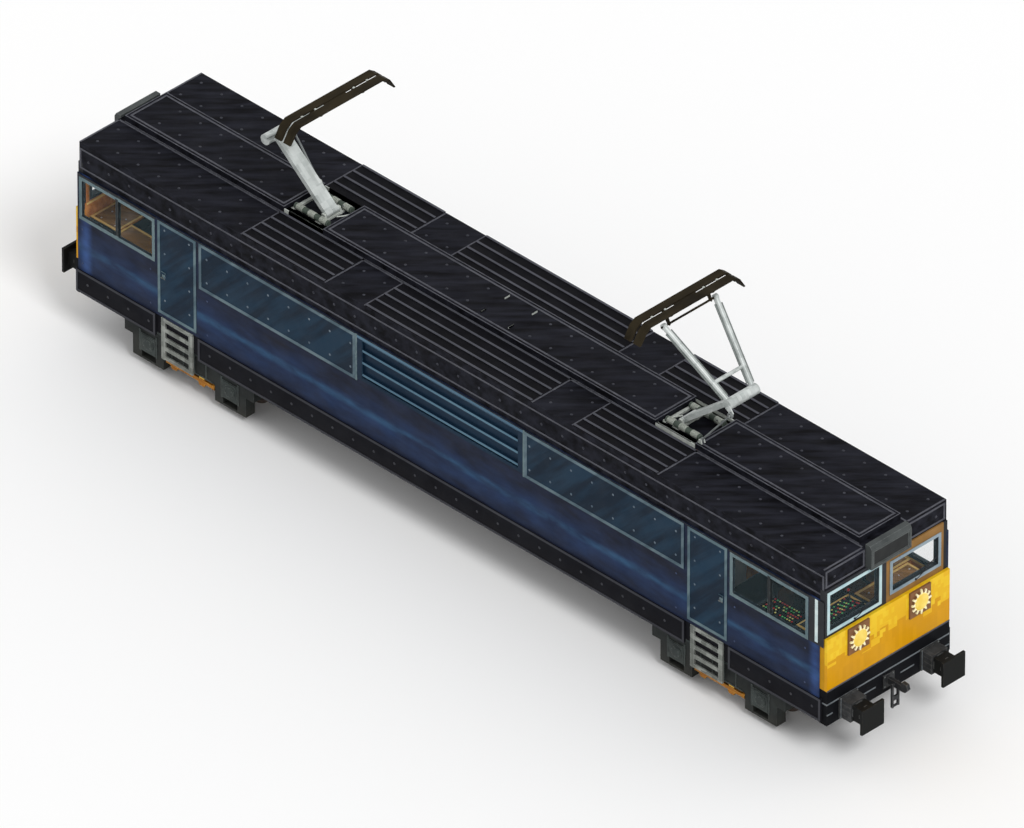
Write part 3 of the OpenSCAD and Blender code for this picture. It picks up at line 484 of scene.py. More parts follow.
for node, item in nodes.items():
    item.data.materials.clear()
    if node in ("windscreens", "side_windows"):
        item.data.materials.append(paneGlass)
    elif node in axlePlaces:
        item.data.materials.append(wheelFinish(node.replace("_", ""), axlePlaces[node]))
    else:
        item.data.materials.append(paints[cadFinishes[node]])
print("finishes on the packed model")


# Mesh helpers
def addBox(bm, low, high, slot=0):
    low, high = [min(p) for p in zip(low, high)], [max(p) for p in zip(low, high)]
    made = bmesh.ops.create_cube(bm, size=1)["verts"]
    for v in made:
        v.co = [low[i] + (v.co[i] + 0.5) * (high[i] - low[i]) for i in range(3)]
    for face in {f for v in made for f in v.link_faces}:
        face.material_index = slot


# A rectangle of four bars on a face across the axis; out is how far the bars stand proud
def addFrame(bm, axis, at, out, first, second, width, slot=0):
    (a0, a1), (b0, b1) = first, second
    bars = [(a0, a1, b0, b0 + width), (a0, a1, b1 - width, b1),
            (a0, a0 + width, b0 + width, b1 - width), (a1 - width, a1, b0 + width, b1 - width)]
    for p0, p1, q0, q1 in bars:
        low, high = {"x": ((at, p0, q0), (at + out, p1, q1)), "y": ((p0, at, q0), (p1, at + out, q1)),
                     "z": ((p0, q0, at), (p1, q1, at + out))}[axis]
        addBox(bm, low, high, slot)


def skin(bm, rings, slot=0):
    made = [bm.faces.new(list(reversed(rings[0]))), bm.faces.new(rings[-1])]
    for one, two in zip(rings, rings[1:]):
        for i in range(len(one)):
            j = (i + 1) % len(one)
            made.append(bm.faces.new((one[i], one[j], two[j], two[i])))
    for face in made:
        face.material_index = slot


def addLathe(bm, profile, centre, axis, sides=24, slot=0):
    rings = []
    for radius, along in profile:
        ring = []
        for i in range(sides):
            angle = 2 * math.pi * i / sides
            spot = [0.0, 0.0, 0.0]
            spot[axis] = along
            spot[(axis + 1) % 3] = radius * math.cos(angle)
            spot[(axis + 2) % 3] = radius * math.sin(angle)
            ring.append(bm.verts.new(Vector(centre) + Vector(spot)))
        rings.append(ring)
    skin(bm, rings, slot)


def addPrism(bm, outline, axis, low, high, slot=0):
    skin(bm, [[bm.verts.new([*p[:axis], at, *p[axis:]]) for p in outline] for at in (low, high)], slot)


def addTube(bm, points, radius, sides=10, slot=0):
    points = [Vector(p) for p in points]
    rings = []
    for i, point in enumerate(points):
        way = (points[min(i + 1, len(points) - 1)] - points[max(i - 1, 0)]).normalized()
        side = way.cross(Vector((0, 0, 1)) if abs(way.z) < 0.9 else Vector((1, 0, 0))).normalized()
        up = side.cross(way)
        rings.append([bm.verts.new(point + radius * (math.cos(a) * side + math.sin(a) * up))
                      for a in (2 * math.pi * k / sides for k in range(sides))])
    skin(bm, rings, slot)


def halfTurn(bm):
    made = bmesh.ops.duplicate(bm, geom=bm.verts[:] + bm.edges[:] + bm.faces[:])["geom"]
    verts = [g for g in made if isinstance(g, bmesh.types.BMVert)]
    bmesh.ops.rotate(bm, cent=(0, 0, 0), matrix=Matrix.Rotation(math.pi, 3, "Z"), verts=verts)


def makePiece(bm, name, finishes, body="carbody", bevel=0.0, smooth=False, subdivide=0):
    bmesh.ops.recalc_face_normals(bm, faces=bm.faces[:])
    mesh = bpy.data.meshes.new(name)
    bm.to_mesh(mesh)
    bm.free()
    for finish in finishes:
        mesh.materials.append(paints[finish])
    piece = bpy.data.objects.new(name, mesh)
    bpy.context.scene.collection.objects.link(piece)
    if smooth:
        mesh.shade_smooth()
        if not subdivide:
            mesh.set_sharp_from_angle(angle=math.radians(38))
    if bevel:
        edge = piece.modifiers.new("softEdges", "BEVEL")
        edge.width, edge.segments, edge.limit_method = bevel, 1, "ANGLE"
    if subdivide:
        finer = piece.modifiers.new("finer", "SUBSURF")
        finer.levels = finer.render_levels = subdivide
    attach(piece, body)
    return piece


# Geometry Nodes: heads of rivets, bolts and buttons on a cloud of points
def scatter(tree, given, result, head, turn):
    spread = place(tree, "GeometryNodeInstanceOnPoints", {
        "Points": given["Points"], "Instance": head.outputs[0], "Rotation": turn})
    real = place(tree, "GeometryNodeRealizeInstances", {"Geometry": spread.outputs[0]})
    dressed = place(tree, "GeometryNodeSetMaterial", {
        "Geometry": real.outputs[0], "Material": given["Finish"]})
    tree.links.new(dressed.outputs[0], result["Geometry"])
    return tree


def buildStuds():
    tree, given, result = startGroup(
        "studs", ["Geometry"], "GeometryNodeTree", Points=None, Radius=0.02, Height=0.008, Sides=8,
        Finish=None)
    waist = maths(tree, "MULTIPLY", given["Radius"], 0.78)
    crown = maths(tree, "MULTIPLY", given["Radius"], 0.35)
    lower = maths(tree, "MULTIPLY", given["Height"], 0.6)
    upper = maths(tree, "MULTIPLY", given["Height"], 0.4)
    skirt = place(tree, "GeometryNodeMeshCone", {
        "Vertices": given["Sides"], "Radius Top": waist, "Radius Bottom": given["Radius"], "Depth": lower})
    cap = place(tree, "GeometryNodeMeshCone", {
        "Vertices": given["Sides"], "Radius Top": crown, "Radius Bottom": waist, "Depth": upper})
    lift = place(tree, "ShaderNodeCombineXYZ", {"Z": lower})
    raised = place(tree, "GeometryNodeTransform", {
        "Geometry": cap.outputs[0], "Translation": lift.outputs[0]})
    head = place(tree, "GeometryNodeJoinGeometry")
    for part in (skirt, raised):
        tree.links.new(part.outputs[0], head.inputs[0])
    facing = place(tree, "GeometryNodeInputNamedAttribute", {"Name": "facing"},
                   data_type="FLOAT_VECTOR")
    turn = place(tree, "FunctionNodeAlignRotationToVector", {"Vector": facing.outputs[0]}, axis="Z")
    return scatter(tree, given, result, head, turn.outputs[0])


# Rings of wire wound round a drum that lies along X
def buildWindings():
    tree, given, result = startGroup(
        "windings", ["Geometry"], "GeometryNodeTree", Points=None, Radius=0.05, Wire=0.006, Finish=None)
    loop = place(tree, "GeometryNodeCurvePrimitiveCircle", {"Resolution": 20, "Radius": given["Radius"]})
    wire = place(tree, "GeometryNodeCurvePrimitiveCircle", {"Resolution": 6, "Radius": given["Wire"]})
    ring = place(tree, "GeometryNodeCurveToMesh", {
        "Curve": loop.outputs[0], "Profile Curve": wire.outputs[0]})
    return scatter(tree, given, result, ring, (0.0, math.pi / 2, 0.0))


trees = {"studs": buildStuds(), "windings": buildWindings()}


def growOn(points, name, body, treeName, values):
    mesh = bpy.data.meshes.new(name + "Points")
    mesh.from_pydata([p[0] for p in points], [], [])
    facing = mesh.attributes.new("facing", "FLOAT_VECTOR", "POINT")
    facing.data.foreach_set("vector", [c for p in points for c in p[1]])
    piece = bpy.data.objects.new(name, mesh)
    bpy.context.scene.collection.objects.link(piece)
    grower = piece.modifiers.new(treeName, "NODES")
    grower.node_group = trees[treeName]
    for item in trees[treeName].interface.items_tree:
        if item.in_out == "INPUT" and item.name in values:
            grower[item.identifier] = values[item.name]
    depsgraph = bpy.context.evaluated_depsgraph_get()
    made = bpy.data.meshes.new_from_object(piece.evaluated_get(depsgraph))
    piece.modifiers.clear()
    piece.data = made
    made.name = name
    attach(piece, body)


def addStuds(points, name, body, finish, slot, radius, height, sides=8):
    growOn(points, name, body, "studs", {
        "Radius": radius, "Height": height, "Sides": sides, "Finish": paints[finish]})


def withHalfTurn(points):
    return points + [((-p[0], -p[1], p[2]), (-n[0], -n[1], n[2])) for p, n in points]


# Bolts in a circle on a face that looks along Y
def boltRing(x, y, z, radius, count, first=0.0):
    angles = [first + 2 * math.pi * k / count for k in range(count)]
    return [((x + radius * math.cos(a), y, z + radius * math.sin(a)), (0, math.copysign(1, y), 0))
            for a in angles]


def steps(first, last, spacing):
    count = max(1, round((last - first) / spacing))
    return [first + (last - first) * i / count for i in range(count + 1)]


# Roof
roof = dict(seamWidth=0.034, seamHeight=0.006, plateInset=0.06, inner=0.515, rivetRadius=0.028,
            rivetHeight=0.010, rivetSpacing=0.5)
plateSpans = [(-roofEnd, -roofSplit), (-grilleOut, -grilleIn), (grilleIn, grilleOut), (roofSplit, roofEnd)]
centreSpans = [(-plateEnd, -4.95), (-4.0, 4.0), (4.95, plateEnd)]

bm = bmesh.new()
for x0, x1 in plateSpans:
    for s in (-1, 1):
        for lowX, highX, reach in ((x0, x1, roof["inner"] + roof["seamWidth"]),
                                   (x0, x0 + roof["seamWidth"], roofSide - 0.005),
                                   (x1 - roof["seamWidth"], x1, roofSide - 0.005)):
            addBox(bm, (lowX, s * roof["inner"], roofTop), (highX, s * reach, roofTop + roof["seamHeight"]))
for x0, x1 in centreSpans:
    inset = roof["plateInset"]
    addFrame(bm, "z", plateTop, roof["seamHeight"], (x0 + inset, x1 - inset),
             (-plateSide + inset, plateSide - inset), roof["seamWidth"])
    addFrame(bm, "z", plateTop, 0.004, (x0, x1), (-plateSide, plateSide), 0.018)
    for s in (-1, 1):   # kick strip at the foot of the raised plate
        addBox(bm, (x0, s * plateSide, roofTop), (x1, s * (plateSide + 0.008), roofTop + 0.02))
for s in (-1, 1):   # long seams of both fascias
    for z in (3.50, 3.89):
        addBox(bm, (-roofEnd, s * roofSide, z - 0.017), (roofEnd, s * (roofSide + 0.004), z + 0.017))
    for x in (-roofEnd, roofEnd - 0.045):
        addBox(bm, (x, s * roofSide, 3.522), (x + 0.045, s * (roofSide + 0.004), 3.868))
    for side in (-1, 1):   # framed panels of the end fascias, beside the sign box
        y0, y1 = sorted((side * 0.50, side * (roofSide - 0.03)))
        addFrame(bm, "x", s * roofEnd, s * 0.004, (y0, y1), (3.635, 3.985), 0.04)
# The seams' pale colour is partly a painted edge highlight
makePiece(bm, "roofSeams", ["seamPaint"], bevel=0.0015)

points = []
for x in steps(-8.75, 8.75, roof["rivetSpacing"]):
    onGrille = abs(x) < grilleIn + 0.05 or grilleOut - 0.05 < abs(x) < roofSplit + 0.05
    if not onGrille:
        points += [((x, s * y, roofTop), (0, 0, 1)) for s in (-1, 1) for y in (0.75, 1.25)]
    if abs(abs(x) - (wellIn + wellOut) / 2) > 0.5 and abs(x) < plateEnd - 0.1:
        points += [((x, s * 0.25, plateTop), (0, 0, 1)) for s in (-1, 1)]
    points += [((x, s * roofSide, 3.69), (0, s, 0)) for s in (-1, 1)]
points += [((s * roofEnd, t * 1.22, 3.79), (s, 0, 0)) for s in (-1, 1) for t in (-1, 1)]
addStuds(points, "roofRivets", "carbody", "roofRivet", "roof_trim", roof["rivetRadius"], roof["rivetHeight"])
print("roof made")


# Sides
sides = dict(panelRivet=(0.024, 0.007), wallRivet=(0.02, 0.006), skirtRivet=(0.028, 0.008), rivetStep=0.5,
             doorStud=(0.022, 0.007), studDrops=(0.15, 0.64, 1.13, 1.62))

bm = bmesh.new()
s = -1
pillarEnd = 9.0   # dark corner pillar beside the cab window; its pale strip is a painted highlight down the pillar's corner
addBox(bm, (8.645, s * sideFace, 2.45), (pillarEnd, s * (sideFace + 0.003), wallTop), 1)
# pale strip on the pillar: a painted highlight
addBox(bm, (8.79, s * (sideFace + 0.003), 2.50), (8.86, s * (sideFace + 0.008), wallTop - 0.01), 2)
for direction in (-1, 1):   # head rails over the cab windows
    a, b = sorted((direction * 6.94 - sideShift, direction * 8.79 - sideShift))
    addBox(bm, (a - 0.03, s * sideFace, 3.335), (b + 0.02, s * (sideFace + 0.006), wallTop), 1)
for u in (-2.0, 2.0):   # pale posts where the air intake meets the panels
    x = u - sideShift + (0.02 if u > 0 else -0.02)
    addBox(bm, (x - 0.019, s * sideFace, 2.42), (x + 0.019, s * (sideFace + 0.014), 3.385), 0)
addBox(bm, (-8.98, s * sideFace, wallTop - 0.012), (8.98, s * (sideFace + 0.006), wallTop), 1)
halfTurn(bm)
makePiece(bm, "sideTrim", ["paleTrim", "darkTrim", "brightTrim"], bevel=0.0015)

points, bluePoints, skirtPoints = [], [], []
for direction in (-1, 1):
    for u in steps(2.16, 5.66, sides["rivetStep"]):
        points += [((direction * u - sideShift, -panelRim + 0.006, z), (0, -1, 0)) for z in (2.63, 3.12)]
    for u in (5.66, 7.05, 8.72):
        bluePoints += [((direction * u - sideShift, -sideFace, z), (0, -1, 0)) for z in (1.53, 2.24)]
addStuds(withHalfTurn(points), "panelRivets", "carbody", "tealRivet", "teal_paint", *sides["panelRivet"])
addStuds(withHalfTurn(bluePoints), "wallRivets", "carbody", "blueRivet", "blue_paint", *sides["wallRivet"])
for x in steps(-8.75, 8.75, sides["rivetStep"]):
    u = x + sideShift
    if abs(abs(u) - doorMiddle) > 0.62:
        skirtPoints.append(((x, -skirtFace, 1.14), (0, -1, 0)))
addStuds(withHalfTurn(skirtPoints), "skirtRivets", "carbody", "skirtRivet", "frame_paint",
         *sides["skirtRivet"])

# Doors: studs in two columns, and a handle plate with its lever
for end, hand in (("front", "right"), ("front", "left"), ("rear", "right"), ("rear", "left")):
    body = f"{end}_{hand}_door"
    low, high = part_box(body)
    out = -1 if hand == "right" else 1
    along = 1 if end == "front" else -1
    middle = along * doorMiddle + out * sideShift
    plateY = out * sideFace
    points = [((middle + t * 0.30, plateY, high.z - drop), (0, out, 0)) for t in (-1, 1)
              for drop in sides["studDrops"]]
    addStuds(points, body + "Studs", body, "tealRivet", "teal_paint", *sides["doorStud"])
    bm = bmesh.new()
    handleX = middle + along * 0.33
    addBox(bm, (handleX - 0.035, plateY, 2.18), (handleX + 0.035, plateY + out * 0.004, 2.29))
    addTube(bm, [(handleX - 0.05, plateY + out * 0.02, 2.205), (handleX, plateY + out * 0.022, 2.208),
                 (handleX + 0.055, plateY + out * 0.02, 2.20)], 0.0065, 8, 1)
    addLathe(bm, [(0.016, 0), (0.016, out * 0.02)], (handleX - 0.03, plateY, 2.205), 1, 12, 1)
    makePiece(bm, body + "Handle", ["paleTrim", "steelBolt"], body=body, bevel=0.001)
print("sides and doors made")


# Ends
ends = dict(halfWidth=1.478, rayCount=12, rayHalf=0.034, rayOut=0.031, raySpread=0.235, rayRise=0.25)

bm = bmesh.new()
face = noseFace
half = ends["halfWidth"]
addBox(bm, (face, -half, noseLow - 0.012), (face + 0.008, half, noseLow + 0.018), 0)   # nose foot moulding
addBox(bm, (face, -half, 1.272), (face + 0.005, half, 1.302), 1)
for s in (-1, 1):
    addBox(bm, (face, s * 0.30, 1.055), (face + 0.005, s * 0.63, 1.083), 1)
    addBox(bm, (face, s * 1.34, 1.055), (face + 0.005, s * half, 1.083), 1)
    for y in (s * bufferSide - 0.185, s * bufferSide + 0.185):   # pale strips at the edges of the buffer stocks: painted highlights on the stock plates' side edges
        addBox(bm, (face + 0.04, y - 0.018, 0.90), (face + 0.046, y + 0.018, 1.28), 1)
    addBox(bm, (8.95, s * 1.48, 1.272), (face, s * 1.484, 1.302), 1)
halfTurn(bm)
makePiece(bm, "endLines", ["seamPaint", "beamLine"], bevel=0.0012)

# Round headlights: a deep bezel, a domed lens and short rays pressed round it
bm = bmesh.new()
plateFace = noseFace + 0.035
for s in (-1, 1):
    addLathe(bm, [(0.135, 0.010), (0.135, 0.028), (0.110, 0.036), (0.055, 0.0395)],
             (plateFace, s * lampSide, lampHeight), 0, 32, 1)
    for i in range(ends["rayCount"]):   # solid rays from the lens across the bezel on to the plate
        angle = 2 * math.pi * i / ends["rayCount"]
        way = Vector((0, math.cos(angle), math.sin(angle)))
        side = Vector((0, -way.z, way.y))
        base = Vector((plateFace, s * lampSide, lampHeight))
        foot, tip = base + way * 0.140, base + way * (0.235 if i % 3 else 0.285)
        tip.y = base.y + max(-ends["raySpread"], min(ends["raySpread"], tip.y - base.y))
        tip.z = base.z + max(-ends["rayRise"], min(ends["rayRise"], tip.z - base.z))
        half, narrow = side * ends["rayHalf"], side * ends["rayHalf"] * 0.35
        back = [bm.verts.new(c) for c in (foot - half, tip - narrow, tip + narrow, foot + half)]
        front = [bm.verts.new(v.co + Vector((ends["rayOut"], 0, 0))) for v in back]
        skin(bm, [back, front])
halfTurn(bm)
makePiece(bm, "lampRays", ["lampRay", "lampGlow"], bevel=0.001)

# Blank sign face in its box
bm = bmesh.new()
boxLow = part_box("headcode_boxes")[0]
signX = noseFace + 0.04
addBox(bm, (signX, -0.428, boxLow.z + 0.052), (signX + 0.006, 0.428, roofTop - 0.062), 0)
addFrame(bm, "x", signX + 0.006, 0.004, (-0.425, 0.425), (boxLow.z + 0.055, roofTop - 0.065), 0.018, 1)
halfTurn(bm)
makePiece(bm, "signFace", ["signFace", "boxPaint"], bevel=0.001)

# Wipers of the windscreens
bm = bmesh.new()
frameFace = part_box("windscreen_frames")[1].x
for y0, y1, low in ((-1.43, -0.12, 2.69), (0.08, 1.31, 2.76)):
    middle = (y0 + y1) / 2
    addLathe(bm, [(0.02, 0), (0.02, 0.02), (0.012, 0.026)], (frameFace, middle, low + 0.03), 0, 14, 0)
    addTube(bm, [(frameFace + 0.022, middle, low + 0.03), (frameFace + 0.028, middle + 0.18, low + 0.12),
                 (frameFace + 0.018, middle + 0.36, low + 0.20)], 0.007, 8)
    addTube(bm, [(frameFace + 0.012, middle + 0.16, low + 0.14),
                 (frameFace + 0.012, middle + 0.52, low + 0.26)], 0.009, 6)
halfTurn(bm)
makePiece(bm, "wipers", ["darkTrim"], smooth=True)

# Bolts of the buffer and coupling plates, then collars and ribs of the buffer stocks
points = [((noseFace + 0.04, s * bufferSide + a * 0.198, bufferHeight + b * 0.198), (1, 0, 0))
          for s in (-1, 1) for a in (-1, 1) for b in (-1, 1)]
points += [((noseFace + 0.025, a * 0.1, 1.08 + b * 0.1), (1, 0, 0)) for a in (-1, 1) for b in (-1, 1)]
addStuds(withHalfTurn(points), "endBolts", "carbody", "steelBolt", "buffer_steel", 0.017, 0.012, 6)

bm = bmesh.new()
for s in (-1, 1):
    y = s * bufferSide
    addLathe(bm, [(0.168, 0.0), (0.172, 0.012), (0.168, 0.024)], (noseFace + 0.262, y, bufferHeight), 0, 28)
    addLathe(bm, [(0.155, 0.0), (0.155, 0.016)], (noseFace + 0.42, y, bufferHeight), 0, 28)
    for z in (bufferHeight - 0.1, bufferHeight, bufferHeight + 0.1):   # stiffening ribs on the stock
        addBox(bm, (noseFace + 0.045, y - 0.196, z - 0.012), (noseFace + 0.25, y + 0.196, z + 0.012))
halfTurn(bm)
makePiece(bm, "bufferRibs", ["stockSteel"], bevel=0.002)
print("ends made")


# Cabs
cab = dict(boardUp=0.012, edgeWidth=0.045, buttonRows=8, buttonColumns=9, keyRows=13, keyColumns=5,
           keyShare=0.72, sideTable=(7.26, 8.20, 0.985, 1.425))
boardTop = deskTop + cab["boardUp"]

bm = bmesh.new()
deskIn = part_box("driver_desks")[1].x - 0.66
addBox(bm, (deskIn, 0.03, deskTop), (deskWall - 0.005, deskSide - 0.01, boardTop), 0)
addFrame(bm, "z", boardTop, 0.01, (deskIn, deskWall - 0.005), (0.03, deskSide - 0.01), cab["edgeWidth"], 1)
addBox(bm, (deskIn - 0.012, 0.03, deskTop - 0.12), (deskIn, deskSide - 0.01, deskTop + 0.022), 2)
for y0, y1 in ((1.428, 1.44), (-1.44, -1.428)):   # side linings behind the doors
    edge = 6.83 if y0 < 0 else 7.13
    addBox(bm, (edge, y0, 1.45), (8.885, y1, 2.43), 2)
    addBox(bm, (edge, y0 * 0.998, 2.395), (8.885, y1 * 0.998, 2.44), 1)
addBox(bm, (8.878, 0.0, 2.44), (8.89, 1.43, 2.755), 2)   # end lining under the plain windscreen
addBox(bm, (8.874, 0.02, 2.70), (8.89, 1.40, 2.745), 1)
for y in (0.0, 1.345):
    addBox(bm, (8.876, y, 2.44), (8.89, y + 0.06, 3.5), 2)
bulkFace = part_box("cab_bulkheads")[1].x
addBox(bm, (bulkFace, 0.0, 1.45), (bulkFace + 0.012, 1.42, 2.9), 2)   # lined lower half of the bulkhead
addBox(bm, (bulkFace, 0.0, 2.9), (bulkFace + 0.016, 1.42, 2.94), 1)
halfTurn(bm)
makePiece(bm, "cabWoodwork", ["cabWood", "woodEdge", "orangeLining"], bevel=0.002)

# Side tables under the cab windows: boarded with pale edges on one side, a keyed console on the other
bm = bmesh.new()
x0, x1, y0, y1 = cab["sideTable"]
addBox(bm, (x0, y0, deskTop - 0.20), (x1, y1, deskTop - 0.012), 2)
addBox(bm, (x0 - 0.008, y0 - 0.012, deskTop - 0.012), (x1, y1, boardTop), 0)
addFrame(bm, "z", boardTop, 0.01, (x0, x1), (y0, y1), cab["edgeWidth"], 1)
addBox(bm, (x0, -y1, deskTop - 0.20), (x1, -y0, deskTop - 0.012), 3)
addBox(bm, (x0 - 0.008, -y1, deskTop - 0.012), (x1, -y0 + 0.012, deskTop + 0.004), 3)
addFrame(bm, "z", deskTop + 0.004, 0.008, (x0, x1), (-y1, -y0), 0.03, 3)
addPrism(bm, [(x0 + 0.05, deskTop + 0.004), (x1 - 0.04, deskTop + 0.004), (x1 - 0.04, deskTop + 0.045),
              (x0 + 0.10, deskTop + 0.03)], 1, -y1 + 0.05, -y0 - 0.02, 4)
halfTurn(bm)
makePiece(bm, "sideTables", ["cabWood", "woodEdge", "orangeLining", "deskPaint", "panelBlack"],
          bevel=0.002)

# Raised control panel with rows of small keys, a dial binnacle and a hand lever
bm = bmesh.new()
addPrism(bm, [(8.20, deskTop), (8.20, deskTop + 0.03), (8.62, deskTop + 0.13), (8.66, deskTop + 0.11),
              (8.66, deskTop)], 1, -1.12, -0.16)
addFrame(bm, "z", deskTop, 0.014, (8.15, deskWall - 0.01), (-deskSide + 0.01, -0.05), 0.04, 3)
for y in (-0.92, -0.64, -0.36):
    addLathe(bm, [(0.062, -0.012), (0.062, 0.012), (0.05, 0.016)], (8.69, y, deskTop + 0.07), 0, 20, 1)
addTube(bm, [(8.25, -0.11, deskTop), (8.25, -0.11, deskTop + 0.10), (8.22, -0.11, deskTop + 0.15)],
        0.012, 10, 1)
addLathe(bm, [(0.02, -0.02), (0.028, 0.0), (0.02, 0.02)], (8.215, -0.11, deskTop + 0.16), 2, 14, 2)
halfTurn(bm)
makePiece(bm, "controlPanels", ["panelBlack", "deskPaint", "buttonRed", "woodEdge"],
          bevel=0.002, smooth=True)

random.seed(4)
rows = {"buttonRed": [], "buttonGreen": [], "buttonYellow": []}
lean = Vector((-0.10, 0, 0.42)).normalized()
for i in range(cab["buttonRows"]):
    for j in range(cab["buttonColumns"]):
        t = (i + 0.5) / cab["buttonRows"]
        x = 8.215 + 0.39 * t
        z = deskTop + 0.03 + 0.1 * (x - 8.20) / 0.42
        y = -1.08 + (j + 0.5) * 0.9 / cab["buttonColumns"]
        if random.random() < cab["keyShare"]:
            rows[random.choice(list(rows))].append(((x, y, z), tuple(lean)))
for i in range(cab["keyRows"]):   # keys of the side console
    for j in range(cab["keyColumns"]):
        if random.random() < cab["keyShare"]:
            x = x0 + 0.15 + i * 0.056
            spot = (x, -y0 - 0.06 - j * 0.072, deskTop + 0.030 + (x - x0 - 0.10) * 0.01875)
            rows[random.choice(list(rows))].append((spot, (0, 0, 1)))
for finish, points in rows.items():
    addStuds(withHalfTurn(points), finish + "s", "carbody", finish, "desk_plastic", 0.019, 0.012, 6)
points = [((x, y, boardTop), (0, 0, 1)) for x in (8.38, 8.72) for y in (0.22, 0.58, 0.94, 1.2)]
addStuds(withHalfTurn(points), "deskBolts", "carbody", "paleBolt", "grey_paint", 0.018, 0.006)


# A padded block: rounded in plan, crowned on its two broad faces, with sewn channels across
def cushion(name, low, high, thin, channels, crown):
    size = [high[i] - low[i] for i in range(3)]
    middle = [(high[i] + low[i]) / 2 for i in range(3)]
    wide = [i for i in range(3) if i != thin]
    count, blend = 28, 0.55   # cells across, and how round the corners are in plan
    bm = bmesh.new()
    for face in (-1, 1):
        grid = []
        for a in range(count + 1):
            row = []
            for b in range(count + 1):
                p, q = 2 * a / count - 1, 2 * b / count - 1
                square = (1 - 0.5 * q * q) ** 0.5, (1 - 0.5 * p * p) ** 0.5
                u, v = p * (1 - blend * (1 - square[0])), q * (1 - blend * (1 - square[1]))
                edge = max(0.0, (1 - abs(p) ** 5) * (1 - abs(q) ** 5)) ** 0.42
                swell = 1 + crown * (1 - p * p) * (1 - q * q)
                groove = 0.0
                if channels:
                    lane = (p * 0.5 + 0.5) * channels
                    if 0.3 < lane < channels - 0.3:
                        groove = 0.16 * max(0.0, 1 - abs(lane - round(lane)) / 0.13)
                spot = [0.0, 0.0, 0.0]
                spot[wide[0]] = middle[wide[0]] + u * size[wide[0]] / 2
                spot[wide[1]] = middle[wide[1]] + v * size[wide[1]] / 2
                thick = size[thin] / 2 / (1 + crown)
                spot[thin] = middle[thin] + face * thick * edge * (swell - groove)
                row.append(bm.verts.new(spot))
            grid.append(row)
        for a in range(count):
            for b in range(count):
                bm.faces.new((grid[a][b], grid[a + 1][b], grid[a + 1][b + 1], grid[a][b + 1]))
    bmesh.ops.remove_doubles(bm, verts=bm.verts[:], dist=0.0004)
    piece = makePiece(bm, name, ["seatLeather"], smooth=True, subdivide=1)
    return piece


seat = dict(side=0.7, seatHalf=0.226, backHalf=0.208, channels=4, seatCrown=0.35, backCrown=0.3)
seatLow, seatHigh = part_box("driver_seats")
seatX = seatHigh.x - 0.23
bm = bmesh.new()
for s in (-1, 1):
    y = s * seat["side"]
    foot = seatLow.z
    addLathe(bm, [(0.18, 0.0), (0.18, 0.022), (0.15, 0.036), (0.06, 0.04)], (seatX, y, foot), 2, 28, 0)
    addLathe(bm, [(0.045, 0.035), (0.045, 0.24), (0.034, 0.25), (0.034, 0.40)], (seatX, y, foot), 2, 20, 1)
    addBox(bm, (seatX - 0.20, y - 0.20, foot + 0.40), (seatX + 0.20, y + 0.20, foot + 0.425), 0)
    addBox(bm, (seatX - 0.228, y - 0.16, foot + 0.43), (seatX - 0.214, y + 0.16, foot + 1.0), 0)
    for t in (-1, 1):   # bars that carry the back
        addBox(bm, (seatX - 0.23, y + t * 0.12 - 0.02, foot + 0.402),
               (seatX - 0.19, y + t * 0.12 + 0.02, foot + 0.46), 1)
halfTurn(bm)
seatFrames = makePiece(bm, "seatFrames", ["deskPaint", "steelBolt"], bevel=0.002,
                       smooth=True)
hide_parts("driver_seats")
for along in (-1, 1):
    for s in (-1, 1):
        label = ("Front" if along > 0 else "Rear") + ("Left" if s > 0 else "Right")
        middle = s * seat["side"]
        x0, x1 = sorted((along * (seatX - 0.205), along * (seatX + 0.228)))
        cushion("seatCushion" + label, (x0, middle - seat["seatHalf"], seatLow.z + 0.426),
                (x1, middle + seat["seatHalf"], seatLow.z + 0.52), 2, seat["channels"], seat["seatCrown"])
        x0, x1 = sorted((along * (seatX - 0.213), along * (seatX - 0.141)))
        cushion("seatBack" + label, (x0, middle - seat["backHalf"], seatLow.z + 0.525),
                (x1, middle + seat["backHalf"], seatLow.z + 1.078), 0, 0, seat["backCrown"])
print("cabs made")


